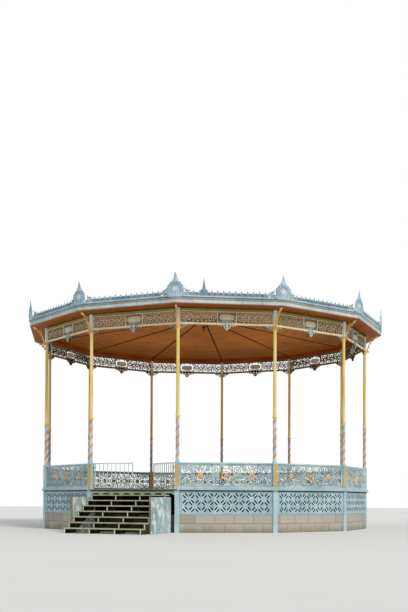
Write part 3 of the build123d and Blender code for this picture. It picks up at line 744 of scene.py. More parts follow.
# %% Columns with their ribbon
column_sides = 24
angle = np.arange(column_sides) * 2 * pi / column_sides
wave = np.cos(angle[None, :] - 2 * pi * heights[:, None] / ribbon_pitch)
in_ribbon = (heights >= ribbon_low) & (heights <= ribbon_high)
radius = radii[:, None] + ribbon_relief * wave * in_ribbon[:, None]
column = lathe(rows[:, ::-1], column_sides)
column[0][: radius.size, 0] = (radius * np.cos(angle)).ravel()
column[0][: radius.size, 1] = (radius * np.sin(angle)).ravel()
middle_height = (heights[1:] + heights[:-1]) / 2
zone_tops = [middle_height < ribbon_low, middle_height < ribbon_high, middle_height < collar_low]
zone = np.select(zone_tops, [3, 1, 0], 2)
column[2][: len(zone) * column_sides] = np.repeat(zone, column_sides)
ribbon_wave = np.tile(np.append(wave.ravel(), [0.0, 0.0]), side_count)
ribbon_columns = stand(upright(column, column_ring), every_corner)
column_paints = [cream_paint, ribbon_finish, ochre_paint, kerb_paint]
piece("ribbon_columns", ribbon_columns, column_paints, ["columns"], ribbon=ribbon_wave)

# %% [markdown]
# ## Balustrade
# Each panel is one casting, 0.72 m high. In the middle is a wreath of gilded beads, and a rosette sits in a ring
# on each side of it. Scrolls fill the rest, each tangent to its neighbours so that the iron can flow from one
# to the next. One quarter is drawn and mirrored twice.

# %% Scrolls and leaves of a quarter panel
panel_low, panel_high, panel_half, border = 1.451, 2.171, 1.4753, 0.050
panel_back, panel_front = column_depth - 0.015, column_depth + 0.011
middle = (panel_low + panel_high) / 2
scrolls = np.array([
    (0.345, 0.165, 0.138, 200, 640), (0.590, 0.222, 0.086, -20, -560), (1.075, 0.185, 0.119, 170, -640),
    (1.302, 0.196, 0.112, 10, 600), (0.826, 0.262, 0.050, 270, 420),
])
scroll_places, scroll_radii, scroll_steps = scrolls[:, :2] + [0, middle], scrolls[:, 2], 30
scroll_width = np.linspace(0.0215, 0.0145, scroll_steps)
button = lathe([(1.0, 0.0), (0.92, 0.5), (0.5, 0.95), (0.05, 1.05)], 8)
leaf_paths = np.array([
    [(0.235, 0.06), (0.27, 0.03), (0.345, 0.0)], [(0.48, 0.06), (0.45, 0.03), (0.345, 0.0)],
    [(0.43, 0.29), (0.47, 0.27), (0.52, 0.29)], [(0.70, 0.29), (0.735, 0.22), (0.78, 0.19)],
    [(0.95, 0.29), (0.93, 0.23), (0.88, 0.19)], [(1.17, 0.29), (1.19, 0.25), (1.21, 0.29)],
    [(1.02, 0.0), (1.08, 0.03), (1.16, 0.075)], [(1.42, 0.06), (1.36, 0.05), (1.32, 0.08)],
    [(0.07, 0.29), (0.10, 0.24), (0.17, 0.29)], [(0.20, 0.29), (0.19, 0.20), (0.215, 0.10)],
])
quarter = joined(
    bars(curls(scrolls, scroll_steps, (0, middle)), scroll_width, panel_back, panel_front),
    copies(button, at_level(scroll_places, panel_back + 0.004), 0.25 * scroll_radii),
    bars(leaf_paths + [0, middle], [0.014, 0.030, 0.010], panel_back, panel_front - 0.003),
)
half_panel = mirrored(quarter, 1, middle)
print("half a panel's scrolls and leaves have", len(half_panel[1]), "faces")

# %% [markdown]
# Rings with a turned button fill the gaps between the scrolls. The rosette is a ring with ten petals, and on it
# sits a domed flower: eight round petals about an eye, a little wider than a true circle to fill its ring.

# %% Rings and rosette
ring_places = np.array([(0.535, 0.0), (1.205, 0.0), (1.352, 0.0), (0.345, 0.0), (1.075, 0.0)]) + [0, middle]
ring_radii = np.array([0.083, 0.064, 0.055, 0.026, 0.040])
rosette_place = np.array([[0.826, middle]])
petal_reach = np.array([0.09, 0.130, 0.172])
petals = rosette_place[None] + on_circle(10)[:, None, :] * petal_reach[None, :, None]
round_petal = lathe([(1.0, 0.0), (0.95, 0.9), (0.6, 1.5), (0.1, 1.7)], 8, paint=2)
rosette = joined(
    lathe([(0.058, 0.0), (0.056, 0.030), (0.030, 0.050), (0.010, 0.054)], 12, paint=1),
    copies(round_petal, at_level(on_circle(8, 0.054), 0.0), 0.025),
    lathe([(0.026, 0.040), (0.026, 0.056), (0.014, 0.068), (0.004, 0.070)], 10, paint=1),
)
rosette[0][:, :2] *= 1.22
half_panel = joined(
    half_panel,
    hoops(ring_places, ring_radii, 0.0165, panel_back, panel_front),
    copies(button, at_level(ring_places, panel_back + 0.004), 0.45 * ring_radii),
    hoops(rosette_place, [0.190], 0.017, panel_back, panel_front + 0.004, 30),
    bars(petals, [0.010, 0.022, 0.006], panel_back, panel_front),
    copies(rosette, at_level(rosette_place, column_depth - 0.026)),
)
print("with rings and rosette:", len(half_panel[1]), "faces")

# %% [markdown]
# The wreath in the middle is a ring that threads six beads, gilded and pale in turn, inside a larger ring. Four
# plates with a raised line above and below make the frame.

# %% Wreath and frame
wreath_centre, wreath_radius, line_width = np.array([[0.0, middle]]), 0.14, 0.012
bead_places = at_level(on_circle(6, wreath_radius, pi / 6) + wreath_centre, panel_back)
bead = lathe([(0.044, 0.0), (0.046, 0.018), (0.036, 0.038), (0.012, 0.048)], 10, paint=1)
pale_bead = (bead[0], bead[1], bead[2] + 1)
inner_half, inner_low, inner_high = panel_half - border, panel_low + border, panel_high - border
inner_lines = [
    (-inner_half, inner_half, inner_low, inner_low + line_width),
    (-inner_half, inner_half, inner_high - line_width, inner_high),
]
scrollwork = joined(
    mirrored(half_panel),
    hoops(wreath_centre, [wreath_radius], 0.012, panel_back, panel_front, 24),
    hoops(wreath_centre, [0.222], 0.015, panel_back, panel_front + 0.003, 30),
    hoops(wreath_centre, [0.060], 0.016, panel_back, panel_front, 16),
    copies(bead, bead_places[::2]),
    copies(pale_bead, bead_places[1::2]),
    copies(button, at_level(wreath_centre, panel_back), 0.045),
    plates(frame_edges(-panel_half, panel_half, panel_low, panel_high, border, border),
           panel_back, column_depth + 0.015, 0.006),
    plates(inner_lines, panel_back, column_depth + 0.008, 0.003),
)
scrollwork_paints = [openwork_paint, rosette_paint, petal_paint]
piece("scrollwork_panels", stand(scrollwork, panel_sides), scrollwork_paints, ["balustrade_panels"])

# %% [markdown]
# The hand rail is a moulded cap over the panel. Its outline has a rounded top, a small step and a drip edge,
# which gives the double line that shows under it. Ochre plates cover the corner posts, inside and outside, and
# a thin band in the colour of the openwork runs round the kerb under the panels.

# %% Hand rails
rail_outline = [
    (-0.045, 0.010), (-0.038, 0.0), (0.038, 0.0), (0.045, 0.010), (0.045, 0.024), (0.036, 0.030),
    (0.030, 0.042), (0.012, 0.045), (-0.012, 0.045), (-0.030, 0.042), (-0.036, 0.030), (-0.045, 0.024),
]
rail_setback, kerb_setback = 0.0905, 0.080
rail = moulding([(column_depth + depth, panel_high + height) for depth, height in rail_outline], rail_setback)
piece("moulded_rails", stand(rail, panel_sides), [kerb_paint], ["hand_rails"])

# %% Post plates and kerb bands
sunk_face = column_ring + 0.075 - 0.006
inner_face = column_ring - 0.0775
stud = lathe([(1.0, 0.0), (0.8, 0.35), (0.3, 0.55)], 8)
stud_places = np.column_stack([np.zeros(7), np.linspace(1.53, 2.07, 7), np.full(7, sunk_face + 0.007)])
post_plate = joined(
    plates([(-0.066, 0.066, 1.456, 2.150)], sunk_face + 0.0005, sunk_face + 0.0085, 0.002),
    copies(stud, stud_places, 0.016),
    plates([(-0.060, 0.060, 1.470, 2.140)], inner_face, column_ring - 0.074, 0.001, paint=1),
)
piece("post_plates", stand(post_plate, every_corner), [post_ochre, ochre_paint])
band_outline = [(5.889, 1.402), (5.900, 1.402), (5.902, 1.410), (5.898, 1.440), (5.889, 1.450)]
kerb_band = moulding(band_outline, kerb_setback)
piece("kerb_bands", stand(kerb_band, panel_sides), [openwork_paint])

# %% [markdown]
# ## Lattice
# Under the deck, cast lattice panels ventilate the floor space. The straps cross at 45 degrees or so, and
# each strap has a slot along both its edges, so that solid diamonds stay between the straps. One half cell
# with its two slots is drawn and repeated: 14 across and 3 up, leaning left and right in turn. The straps
# are painted lighter than the fields as a painted highlight. Behind it lie slats painted black as painted
# shade, tilted and overlapping, so that air passes but no light, and the slots look black.

# %% A half cell with two slots
lattice_back, lattice_front = 5.8306, 5.8506
lattice_low, lattice_high, lattice_half = 0.570, 1.322, 1.4846
stile, lattice_rail = 0.080, 0.051
cells_across, cells_up = 14, 3
cell_width = 2 * (lattice_half - stile) / cells_across
cell_height = (lattice_high - lattice_low - 2 * lattice_rail) / cells_up
diagonal = np.array([cell_width, cell_height])
lean = diagonal / np.linalg.norm(diagonal)
outwards = np.array([lean[1], -lean[0]])
slot_near, slot_far, slot_half, slot_taper = 0.022, 0.063, 0.068, 0.86
cell_middle = diagonal / 2
slot_corners = np.array([
    cell_middle - lean * slot_half + outwards * slot_near,
    cell_middle + lean * slot_half + outwards * slot_near,
    cell_middle + lean * slot_half * slot_taper + outwards * slot_far,
    cell_middle - lean * slot_half * slot_taper + outwards * slot_far,
])
outline = np.array([(0, 0), (cell_width, 0), (cell_width, cell_height), (0, cell_height)])
flat = np.concatenate([outline, slot_corners, diagonal - slot_corners])
relief = np.array([0.005, 0.003, 0.005, 0.003] + [0.001, 0.001, -0.003, -0.003] * 2)
front_faces = np.array([
    [0, 4, 5, 2], [0, 1, 7, 4], [1, 6, 7, -1], [1, 2, 5, 6],
    [2, 8, 9, 0], [2, 3, 11, 8], [3, 10, 11, -1], [3, 0, 9, 10],
])
back_faces = np.where(front_faces < 0, -1, front_faces + len(flat))
slot_edges = np.array([(4, 5), (5, 6), (6, 7), (7, 4), (8, 9), (9, 10), (10, 11), (11, 8)])
slot_walls = np.column_stack([slot_edges, slot_edges[:, ::-1] + len(flat)])
cell_points = np.concatenate([at_level(flat, 0), at_level(flat, lattice_back)])
cell_points[: len(flat), 2] = relief + lattice_front
cell = shape(cell_points, np.concatenate([front_faces, back_faces, slot_walls]))
# Painted light: the strap faces get the lighter paint as a painted highlight, and the slot walls black as painted
# shade.
lit_strap_faces = [0, 4]
cell[2][lit_strap_faces] = 1
cell[2][len(front_faces) + len(back_faces):] = 2
print("a half cell is", round(cell_width, 3), "by", round(cell_height, 3), "m and has", len(cell[1]), "faces")

# %% Lattice panels
leaning_left = cell[0] * [-1, 1, 1] + [cell_width, 0, 0]
column_number, row_number = np.meshgrid(np.arange(cells_across), np.arange(cells_up))
cell_places = np.stack([
    column_number * cell_width - lattice_half + stile, row_number * cell_height + lattice_low + lattice_rail,
    np.zeros_like(row_number),
], axis=-1).reshape(-1, 3)
leans_left = ((column_number + cells_up - 1 - row_number) % 2 == 0).ravel()
lattice = joined(
    copies(cell, cell_places[~leans_left]),
    copies((leaning_left, cell[1], cell[2]), cell_places[leans_left]),
    plates(frame_edges(-lattice_half, lattice_half, lattice_low, lattice_high, stile, lattice_rail),
           lattice_back, lattice_front + 0.005, 0.004),
)
lattice_paints = [pale_paint, kerb_paint, shaded_paint]
piece("slotted_lattice", stand(lattice, panel_sides), lattice_paints, ["lattice_panels"], smooth=20)

# %% Slats behind the lattice
# Painted shade: black slats behind the lattice make the slots look dark.
slat_low = np.arange(7) * 0.090 + 0.590
slat_rise, slat_setback = 0.094, 0.085
slats = joined(*[
    moulding([(5.762, low), (5.774, low), (5.824, low + slat_rise), (5.812, low + slat_rise)], slat_setback)
    for low in slat_low
])
piece("painted_shade_slats", stand(slats, panel_sides), [shaded_paint])

# %% [markdown]
# ## Frieze
# The frieze hangs between the pilasters: a wide olive rail above, a cream rail below, and between them a close
# filigree. A stem waves along it, a second one crosses it, and a scroll with leaves fills every wave. Only the
# fronts are painted cream: the sides are painted umber and the backs dark olive as painted shade, so the holes
# look dark. In the middle a lobed shield, called a cartouche, stands between two little balusters, and a pendant
# hangs under it.

# %% Scrolls and stems of the frieze
frieze_low, frieze_high = 6.575, 7.084
frieze_half = half_width(column_depth, 0.0555)
frieze_back, frieze_front = column_depth - 0.020, column_depth + 0.014
lace_low, lace_high = frieze_low + 0.065, frieze_high - 0.080
lace_middle = (lace_low + lace_high) / 2
wave_count, wave_start = 6, 0.330
wave_length = (frieze_half - wave_start) / wave_count
wave_number = np.arange(wave_count)
swing = np.where(wave_number % 2 == 0, 1.0, -1.0)


def by_wave(share, rise):
    """A place in every wave: at a share of its length, and off the middle by the rise, up and down in turn."""
    return np.stack([wave_start + (wave_number + share) * wave_length, lace_middle + swing * rise], axis=1)


big_centres = by_wave(0.5, -0.044)
big_radii = np.full(wave_count, 0.104)
big_curls = spirals(big_centres, big_radii, swing * radians(150), -swing * radians(540), scroll_steps, 0.78)
small_centres = np.concatenate([by_wave(0.06, 0.132), by_wave(0.90, 0.140)])
small_starts = np.concatenate([-swing * 1.2, -swing * 2.2])
small_sweeps = np.concatenate([swing * 7.5, -swing * 7.0])
small_curls = spirals(small_centres, np.repeat([0.040, 0.034], wave_count), small_starts, small_sweeps, 13)
stem_across = np.linspace(wave_start - 0.02, frieze_half, 72)
sway = 0.125 * np.sin((stem_across - wave_start) * pi / wave_length)
stem, crossing_stem = (np.column_stack([stem_across, lace_middle + side * sway])[None] for side in (1, -1))
print("scrolls in a frieze panel:", 2 * (len(big_curls) + len(small_curls)))

# %% Filigree of the frieze
leaf_line = on_circle(6, start=0.3)
leaf_side = np.stack([-leaf_line[:, 1], leaf_line[:, 0]], axis=1)
leaf_reach, leaf_curve = np.array([[0.102], [0.130], [0.154]]), np.array([[0], [0.006], [0.03]])
leaf_bend = leaf_line[:, None] * leaf_reach + leaf_side[:, None] * leaf_curve
leaves = (big_centres[:, None, None, :] + leaf_bend[None]).reshape(-1, 3, 2)
leaves[..., 1] = np.clip(leaves[..., 1], lace_low, lace_high)
eye = lathe([(1.0, 0.0), (0.85, 0.5), (0.4, 0.9)], 8, paint=1)
filigree = mirrored(joined(
    bars(big_curls, np.linspace(0.0185, 0.0105, scroll_steps), frieze_back, frieze_front, paint=1),
    bars(small_curls, 0.0095, frieze_back, frieze_front - 0.008, paint=1),
    bars(stem, 0.0095, frieze_back, frieze_front - 0.010, paint=1),
    bars(crossing_stem, 0.0065, frieze_back, frieze_front - 0.011, paint=1),
    bars(leaves, [0.008, 0.017, 0.005], frieze_back, frieze_front - 0.006, paint=1),
    copies(eye, at_level(big_centres, frieze_back + 0.006), 0.027),
))
# Painted shade: the deep faces of the filigree get the umber.
filigree = shaded_below(filigree, frieze_front - 0.0125, 5)
print("the filigree has", len(filigree[1]), "faces a panel")

# %% Rails, shield and balusters
line_low, line_high = lace_low + 0.010, lace_high - 0.012
frieze_rails = joined(
    plates([(-frieze_half, frieze_half, lace_high, frieze_high)], frieze_back, column_depth + 0.025, 0.006, 0),
    plates([(-frieze_half, frieze_half, line_high, lace_high)], frieze_back, frieze_front, 0.003, 1),
    plates([(-frieze_half, frieze_half, frieze_low, lace_low)], frieze_back, column_depth + 0.022, 0.008, 4),
    plates([(-frieze_half, frieze_half, lace_low, line_low)], frieze_back, frieze_front, 0.003, 0),
)
shield_sides, field_row = 28, 5
shield_rows = [
    (1.0, 0.0), (1.0, 0.030), (0.90, 0.042), (0.80, 0.030), (0.66, 0.026), (0.60, 0.036), (0.3, 0.050), (0.05, 0.054),
]
shield = lathe(shield_rows, shield_sides, paint=2)
lobed = 1 - 0.07 * np.cos(4 * np.arctan2(shield[0][:, 1], shield[0][:, 0]))
shield[0][:, 0] *= 0.248 * lobed
shield[0][:, 1] *= 0.104 * lobed
shield[2][field_row * shield_sides:] = 4
shield = copies(shield, [(0, lace_middle - 0.006, column_depth - 0.014)])
baluster_rows = [
    (0.016, 0.0), (0.022, 0.03), (0.014, 0.06), (0.027, 0.16), (0.018, 0.26), (0.024, 0.31), (0.016, 0.364),
]
baluster = upright(lathe(baluster_rows, 8, paint=2), column_depth + 0.010)
balusters = mirrored(copies(baluster, [(0.305, lace_low, 0)]))
print("rails, shield and balusters:", sum(len(part[1]) for part in (frieze_rails, shield, balusters)), "faces")

# %% Pendant
pendant_curls = curls([(0.175, -0.026, 0.034, 170, 440), (0.262, -0.020, 0.024, 180, 420)], 18, (0, frieze_low))
shield_curls = curls([
    (0.262, lace_low + 0.052, 0.046, 150, 480), (0.262, lace_high - 0.052, 0.046, 210, -480),
    (0.17, lace_low + 0.030, 0.028, 90, 400), (0.14, lace_high - 0.034, 0.026, 270, -400),
])
pendant_rings = np.array([(0.064, 0.070), (0.062, -0.020), (0.040, -0.090)]) + [0, frieze_low]
pendant_edge = np.array([[(0.112, 0.13), (0.116, -0.02), (0.080, -0.10), (0.012, -0.158)]]) + [0, frieze_low]
pendant_half = joined(
    bars(pendant_curls, 0.010, frieze_back, frieze_front, paint=2),
    bars(shield_curls, 0.009, frieze_back, frieze_front, paint=2),
    hoops(pendant_rings, [0.043, 0.042, 0.032], 0.016, frieze_back, column_depth + 0.030, 12, paint=2),
    bars(pendant_edge, 0.014, frieze_back, column_depth + 0.027, paint=2),
    plates([(0.0, 0.014, frieze_low - 0.150, frieze_low + 0.130)], frieze_back, column_depth + 0.028, 0.004, paint=2),
)
# Painted shade: the deep faces of the pendant get the umber.
pendant = mirrored(shaded_below(pendant_half, column_depth + 0.006, 5))
drop_rows = [(0.006, -0.182), (0.016, -0.170), (0.020, -0.156), (0.008, -0.138)]
drop = copies(upright(lathe(drop_rows, 8, paint=2), column_depth), [(0, frieze_low, 0)])
# Painted shade: the backs of the frieze get the dark olive.
frieze = shaded_below(joined(filigree, frieze_rails, shield, balusters, pendant, drop), frieze_back + 0.004, 6)
frieze_paints = [olive_paint, filigree_paint, shield_paint, rosette_paint, rail_cream, shaded_wall_paint, shaded_back_paint]
piece("filigree_frieze", stand(frieze, every_side), frieze_paints, ["frieze_panels"])

# %% [markdown]
# Small scrolled brackets sit in the angle between each column and the frieze. They are two curls in a
# triangle of bars, cast thin.

# %% Spandrel scrolls
spandrel_start = half_width(column_depth) - 0.0775
spandrel_stretch = 1.35
spandrel_curls = curls([
    (-0.056, -0.060, 0.046, 40, 540), (-0.145, -0.038, 0.030, 40, 500), (-0.200, -0.024, 0.018, 40, 420),
], 22, (spandrel_start, frieze_low))
edge_bars = np.array([[(-0.006, 0), (-0.006, -0.110)], [(0, -0.006), (-0.220, -0.006)]])
sweep_angle = np.linspace(0, pi / 2, 14)
hollow_edge = np.stack([
    spandrel_start - 0.012 - 0.195 * (1 - np.cos(sweep_angle)) ** 1.2,
    frieze_low - 0.106 + 0.095 * np.sin(sweep_angle),
], axis=1)[None]
spandrel_back, spandrel_front = column_depth - 0.010, column_depth + 0.010
spandrel = joined(
    bars(spandrel_curls, 0.007, spandrel_back, spandrel_front),
    bars(edge_bars + [spandrel_start, frieze_low], 0.006, spandrel_back, spandrel_front),
    bars(hollow_edge, 0.006, spandrel_back, spandrel_front),
)
spandrel[0][:, 1] = frieze_low - spandrel_stretch * (frieze_low - spandrel[0][:, 1])
# Painted shade: the deep faces of the spandrel get the umber.
spandrel = mirrored(shaded_below(spandrel, column_depth + 0.005, 1))
spandrel_paints = [shield_paint, shaded_wall_paint]
piece("spandrel_scrolls", stand(spandrel, every_side), spandrel_paints, ["spandrel_brackets"])

# %% [markdown]
# ## Eaves
# A bracket rises from each collar and curves out to the corner of the eaves. It follows a circular arc in the
# corner's upright plane: its foot is upright and its head nearly level. A volute closes the foot.

# %% Eave brackets
bracket_start, bracket_reach = 6.0978, 0.432
bracket_foot, bracket_head = 6.500, 7.104
half_thick, arc_steps, cap_steps = 0.0225, 26, 5
rise = bracket_head - bracket_foot
bend = (bracket_reach**2 + rise**2) / (2 * bracket_reach)
arc = np.linspace(0, np.arcsin(min(1.0, rise / (bend + half_thick))), arc_steps)
spine = np.stack([bracket_start + bend * (1 - np.cos(arc)), bracket_foot + bend * np.sin(arc)], axis=1)
swell = half_thick * (1 - 0.25 * np.sin(np.linspace(0, pi, arc_steps)))
volutes = curls([
    (bracket_start + 0.030, bracket_foot + 0.020, 0.040, 150, 430),
    (bracket_start + 0.165, bracket_head - 0.155, 0.075, 220, -420),
], 22)
bud_places = spine[[7, 12, 17, 21]] + np.array([0.034, -0.012])
bud_turns = [(0.026, 150, 380), (0.028, 140, 380), (0.030, 130, 380), (0.026, 120, 380)]
buds = curls(np.column_stack([bud_places, bud_turns]), 12)
curved = bars(spine[None], swell, -0.025, 0.025, crown=0.7)
curved[2][-2 * 4:] = 1
cap = bars(spine[None, -cap_steps:], swell[-cap_steps:] + 0.002, -0.027, 0.027, paint=1, crown=0.7)
bracket = joined(curved, bars(volutes, 0.012, -0.018, 0.018), bars(buds, 0.009, -0.018, 0.018), cap)
out, up, sideways = bracket[0].T
up = np.minimum(up, bracket_head - 0.001)
bracket = (np.column_stack([sideways, up, out]), bracket[1], bracket[2])
bracket_paints = [ochre_paint, filigree_paint]
piece("scrolled_brackets", stand(bracket, every_corner), bracket_paints, ["eave_brackets"])

# %% [markdown]
# The fascia carries a row of small beads and, over them, a gilded line. Two blue lines follow the flare of the
# gutter's lip: a mid blue one, and over it a dark one that is a painted shadow under the cresting's rail. They
# stand a millimetre or two out of it, since a line inside the lip wouldn't show.

# %% Fascia lines and beads
eave_depth = (column_ring + 0.606) * cos(half_turn)
fascia_low, fascia_top, lip_top = 7.126, 7.236, 7.310


def fascia_line(base, outline, paint):
    """A moulding on the eaves: its outline is measured out from the eaves and up from a base height."""
    return moulding([(eave_depth + out, base + up) for out, up in outline], 0.001, paint)


lines = joined(
    fascia_line(fascia_top, [(0.008, 0.002), (0.015, 0.002), (0.017, 0.026), (0.008, 0.028)], 0),
    fascia_line(fascia_top, [(0.008, 0.034), (0.0186, 0.034), (0.0194, 0.054), (0.008, 0.054)], 1),
    # Painted shadow: the dark line at the top of the lip.
    fascia_line(fascia_top, [(0.008, 0.056), (0.0192, 0.056), (0.0198, 0.073), (0.008, 0.073)], 3),
    fascia_line(fascia_low, [(-0.002, 0.004), (0.006, 0.006), (0.006, 0.016), (-0.002, 0.018)], 1),
)
bead_row = np.column_stack([np.linspace(-1.62, 1.62, 41), np.full(41, fascia_low + 0.062)])
small_bead = lathe([(1.0, 0.0), (0.86, 0.5), (0.4, 0.85)], 8, paint=2)
fascia_trim = joined(lines, copies(small_bead, at_level(bead_row, eave_depth - 0.001), 0.013))
fascia_paints = [gilding, crest_paint, fascia_paint, shadow_blue_paint]
piece("fascia_lines", stand(fascia_trim, every_side), fascia_paints)

# %% [markdown]
# The cresting is lace on a rail, pale above and painted dark below as painted shadow: in every pitch a fan of
# stems, rings where they meet, a spike over the fan, and a hollow between two fans, painted dark as painted
# shade. The motif is drawn once at the origin and copied along the side. At both ends of a side a wing of
# crossed leaves and volutes leads up to the medallion.

# %% One motif of the cresting
crest_half, crest_count, crest_stretch = 1.415, 15, 1.42
crest_pitch = 2 * crest_half / crest_count
crest_thick = 0.012
motif_stems = np.array([
    [(0.0, 0.010), (0.0, 0.045), (0.0, 0.075)], [(-0.088, 0.014), (-0.060, 0.030), (-0.022, 0.086)],
    [(0.088, 0.014), (0.060, 0.030), (0.022, 0.086)], [(-0.090, 0.062), (-0.060, 0.060), (-0.030, 0.016)],
    [(0.090, 0.062), (0.060, 0.060), (0.030, 0.016)],
])
motif_ring_places = [(0.0, 0.082), (-crest_pitch / 2, 0.066), (0.0, 0.034)]
# Painted shade: the hollow between two fans is dark blue.
hollow = lathe([(0.062, 0.0), (0.059, 0.0036), (0.030, 0.0039)], 8, paint=1)
hollow[0][:, 1] = 0.056 + hollow[0][:, 1] * 0.62
hollow[0][:, 0] -= crest_pitch / 2
motif = joined(
    bars(motif_stems, 0.0135, 0.0, crest_thick),
    hoops(motif_ring_places, [0.027, 0.022, 0.018], 0.012, 0.0, crest_thick, 8),
    bars([[(0.0, 0.104), (0.0, 0.118), (0.0, 0.138)]], [0.008, 0.013, 0.001], 0.0, crest_thick),
    hollow,
)
motif[0][:, 1] *= crest_stretch
print("a motif is", round(crest_pitch, 3), "m wide and has", len(motif[1]), "faces")

# %% Cresting
crest_back, crest_front = eave_depth - 0.0135, eave_depth - 0.0015
rail_half, rail_low, rail_step, rail_top = 1.500, lip_top - 0.0005, lip_top + 0.018, lip_top + 0.054
motif_across = (np.arange(1, crest_count - 1) + 0.5) * crest_pitch - crest_half
motif_places = np.column_stack([motif_across, np.full_like(motif_across, lip_top + 0.036)])
wing_curls = curls([
    (1.352, 0.176, 0.070, 200, -470), (1.225, 0.118, 0.056, 210, -440),
    (1.420, 0.098, 0.048, 180, -430), (1.318, 0.088, 0.036, 30, 420),
], origin=(0, lip_top))
wing_leaves = np.array([
    [(1.430, 0.286), (1.330, 0.180), (1.110, 0.066)],
    [(1.430, 0.050), (1.310, 0.130), (1.236, 0.240)],
    [(1.500, 0.150), (1.440, 0.110), (1.330, 0.060)],
]) + [0, lip_top]
wing = joined(
    bars(wing_curls, 0.0135, crest_back, crest_front + 0.005, paint=2),
    bars(wing_leaves, [0.012, 0.025, 0.006], crest_back, crest_front + 0.003, paint=2),
)
# Painted shade: the wing's deep faces and the rail's lower band get the dark blue.
crest = joined(
    copies(motif, at_level(motif_places, crest_back)),
    mirrored(shaded_below(wing, crest_front - 0.002, 1)),
    plates([(-rail_half, rail_half, rail_low, rail_step)], crest_back, crest_front - 0.001, 0.002, paint=1),
    plates([(-rail_half, rail_half, rail_step, rail_top)], crest_back, crest_front + 0.001, 0.002, paint=2),
)
crest_paints = [crest_paint, shadow_blue_paint, kerb_paint]
piece("lace_cresting", stand(crest, every_side), crest_paints, ["cresting"])

# %% [markdown]
# At each corner a medallion stands on the gutter: a disc with rings and a pale boss, a hood of eleven lobes
# round it, leaves at its foot and a spire with a bud. The relief is a function of radius and angle: out is
# given by rings of the radius, and with the angle from the top the rim is R (1 - 0.12 (1 - |cos(5.5 angle)|)).
# Below the foot it is cut flat.

# %% The disc and its relief
shell_radius, shell_low, shell_back = 0.280, lip_top, 6.578
shell_centre = shell_low + 0.228
disc_sides, lobes, lobe_depth = 66, 5.5, 0.12
groove_shade_row, boss_row = 7, 11
relief_rows = [
    (1.00, 0.000), (1.00, 0.010), (0.95, 0.020), (0.84, 0.013), (0.76, 0.013), (0.72, 0.026), (0.66, 0.028),
    (0.60, 0.010), (0.54, 0.008), (0.40, 0.012), (0.36, 0.022), (0.24, 0.026), (0.18, 0.016), (0.04, 0.020),
]
disc = lathe(relief_rows, disc_sides)
spread = np.hypot(disc[0][:, 0], disc[0][:, 1])
bearing = np.arctan2(disc[0][:, 1], disc[0][:, 0])
lobe_wave = np.abs(np.sin(lobes * (bearing - pi / 2) + pi / 2))
fringe = (spread > 0.74) & (spread < 1.01)
disc[0][:, :2] *= (shell_radius * (1 - lobe_depth * (1 - lobe_wave) * (spread > 0.9)))[:, None]
disc[0][:, 2] += 0.008 * lobe_wave * fringe * (disc[0][:, 2] > 0.001)
disc[0][:, 1] = np.maximum(disc[0][:, 1], shell_low - shell_centre + 0.0005 * spread)
# Painted shade: the band in the groove gets the sea blue.
disc[2][groove_shade_row * disc_sides:(groove_shade_row + 1) * disc_sides] = 2
disc[2][boss_row * disc_sides:] = 1
disc[0][boss_row * disc_sides:, 1] += 0.030
disc = copies(disc, [(0, shell_centre, shell_back)])
print("a disc has", len(disc[1]), "faces")

# %% Hood, foot and spire
ring_angle = np.linspace(-0.25, pi + 0.25, 11)
ring_centres = np.stack([0.238 * np.cos(ring_angle), shell_centre + 0.238 * np.sin(ring_angle)], axis=1)
# Painted shade: a dark eye sits in the hole of every ring.
ring_eye = lathe([(0.018, 0.0), (0.016, 0.0235), (0.006, 0.0240)], 8, paint=2)
foot_steps = [(-0.228, 0.228, shell_low, shell_low + 0.032), (-0.214, 0.214, shell_low + 0.032, shell_low + 0.094)]
foot_curls = curls([(0.240, 0.044, 0.040, 250, -430)], origin=(0, shell_low))
spire_rows = [
    (0.100, 0.450), (0.096, 0.480), (0.078, 0.500), (0.080, 0.512), (0.060, 0.530), (0.044, 0.555), (0.040, 0.590),
    (0.044, 0.620), (0.050, 0.645), (0.046, 0.670), (0.034, 0.695), (0.024, 0.730), (0.010, 0.768),
]
spire = upright(lathe(spire_rows, 12))
spire[0][:, 2] = shell_back + 0.0145 + spire[0][:, 2] * 0.26
spire_leaves = curls([(0.092, 0.520, 0.034, 250, -420), (0.058, 0.590, 0.022, 240, -400)], 16, (0, shell_low))
medallion = joined(
    disc,
    hoops(ring_centres, np.full(11, 0.024), 0.008, shell_back, shell_back + 0.028, 10),
    copies(ring_eye, at_level(ring_centres, shell_back)),
    plates(foot_steps, shell_back, shell_back + 0.024, 0.004),
    copies(spire, [(0, shell_low, 0)]),
    mirrored(bars(foot_curls, 0.010, shell_back, shell_back + 0.022)),
    mirrored(bars(spire_leaves, 0.006, shell_back + 0.004, shell_back + 0.020)),
)
medal_paints = [medal_paint, rail_cream, groove_shade_paint]
piece("corner_medallions", stand(medallion, every_corner), medal_paints, ["acroteria"])

# %% Leaves beside the medallions
side_curls = curls([
    (1.515, 0.050, 0.048, 200, -460), (1.565, 0.105, 0.036, 220, -430), (1.600, 0.040, 0.030, 200, -420),
], origin=(0, lip_top))
corner_leaves = mirrored(bars(side_curls, 0.008, eave_depth - 0.014, eave_depth - 0.001))
piece("corner_leaves", stand(corner_leaves, every_side), [crest_paint])

# %% [markdown]
# ## Roof, finial and lamp
# The low zinc roof has standing seams, where the edges of two sheets are folded up together. A seam at a
# distance across runs from where its side is wide enough down to the gutter. The finial and the lamp are turned.

# %% Roof seams
roof_slope, sheet = tan(radians(10)), 0.030
roof_edge, roof_edge_height = 6.2249, 7.276


def roof_top(depth):
    """Height of the roof: edge height + (edge depth - depth) tan 10 deg, plus the sheet's thickness upright."""
    return roof_edge_height + (roof_edge - depth) * roof_slope + sheet / cos(radians(10))


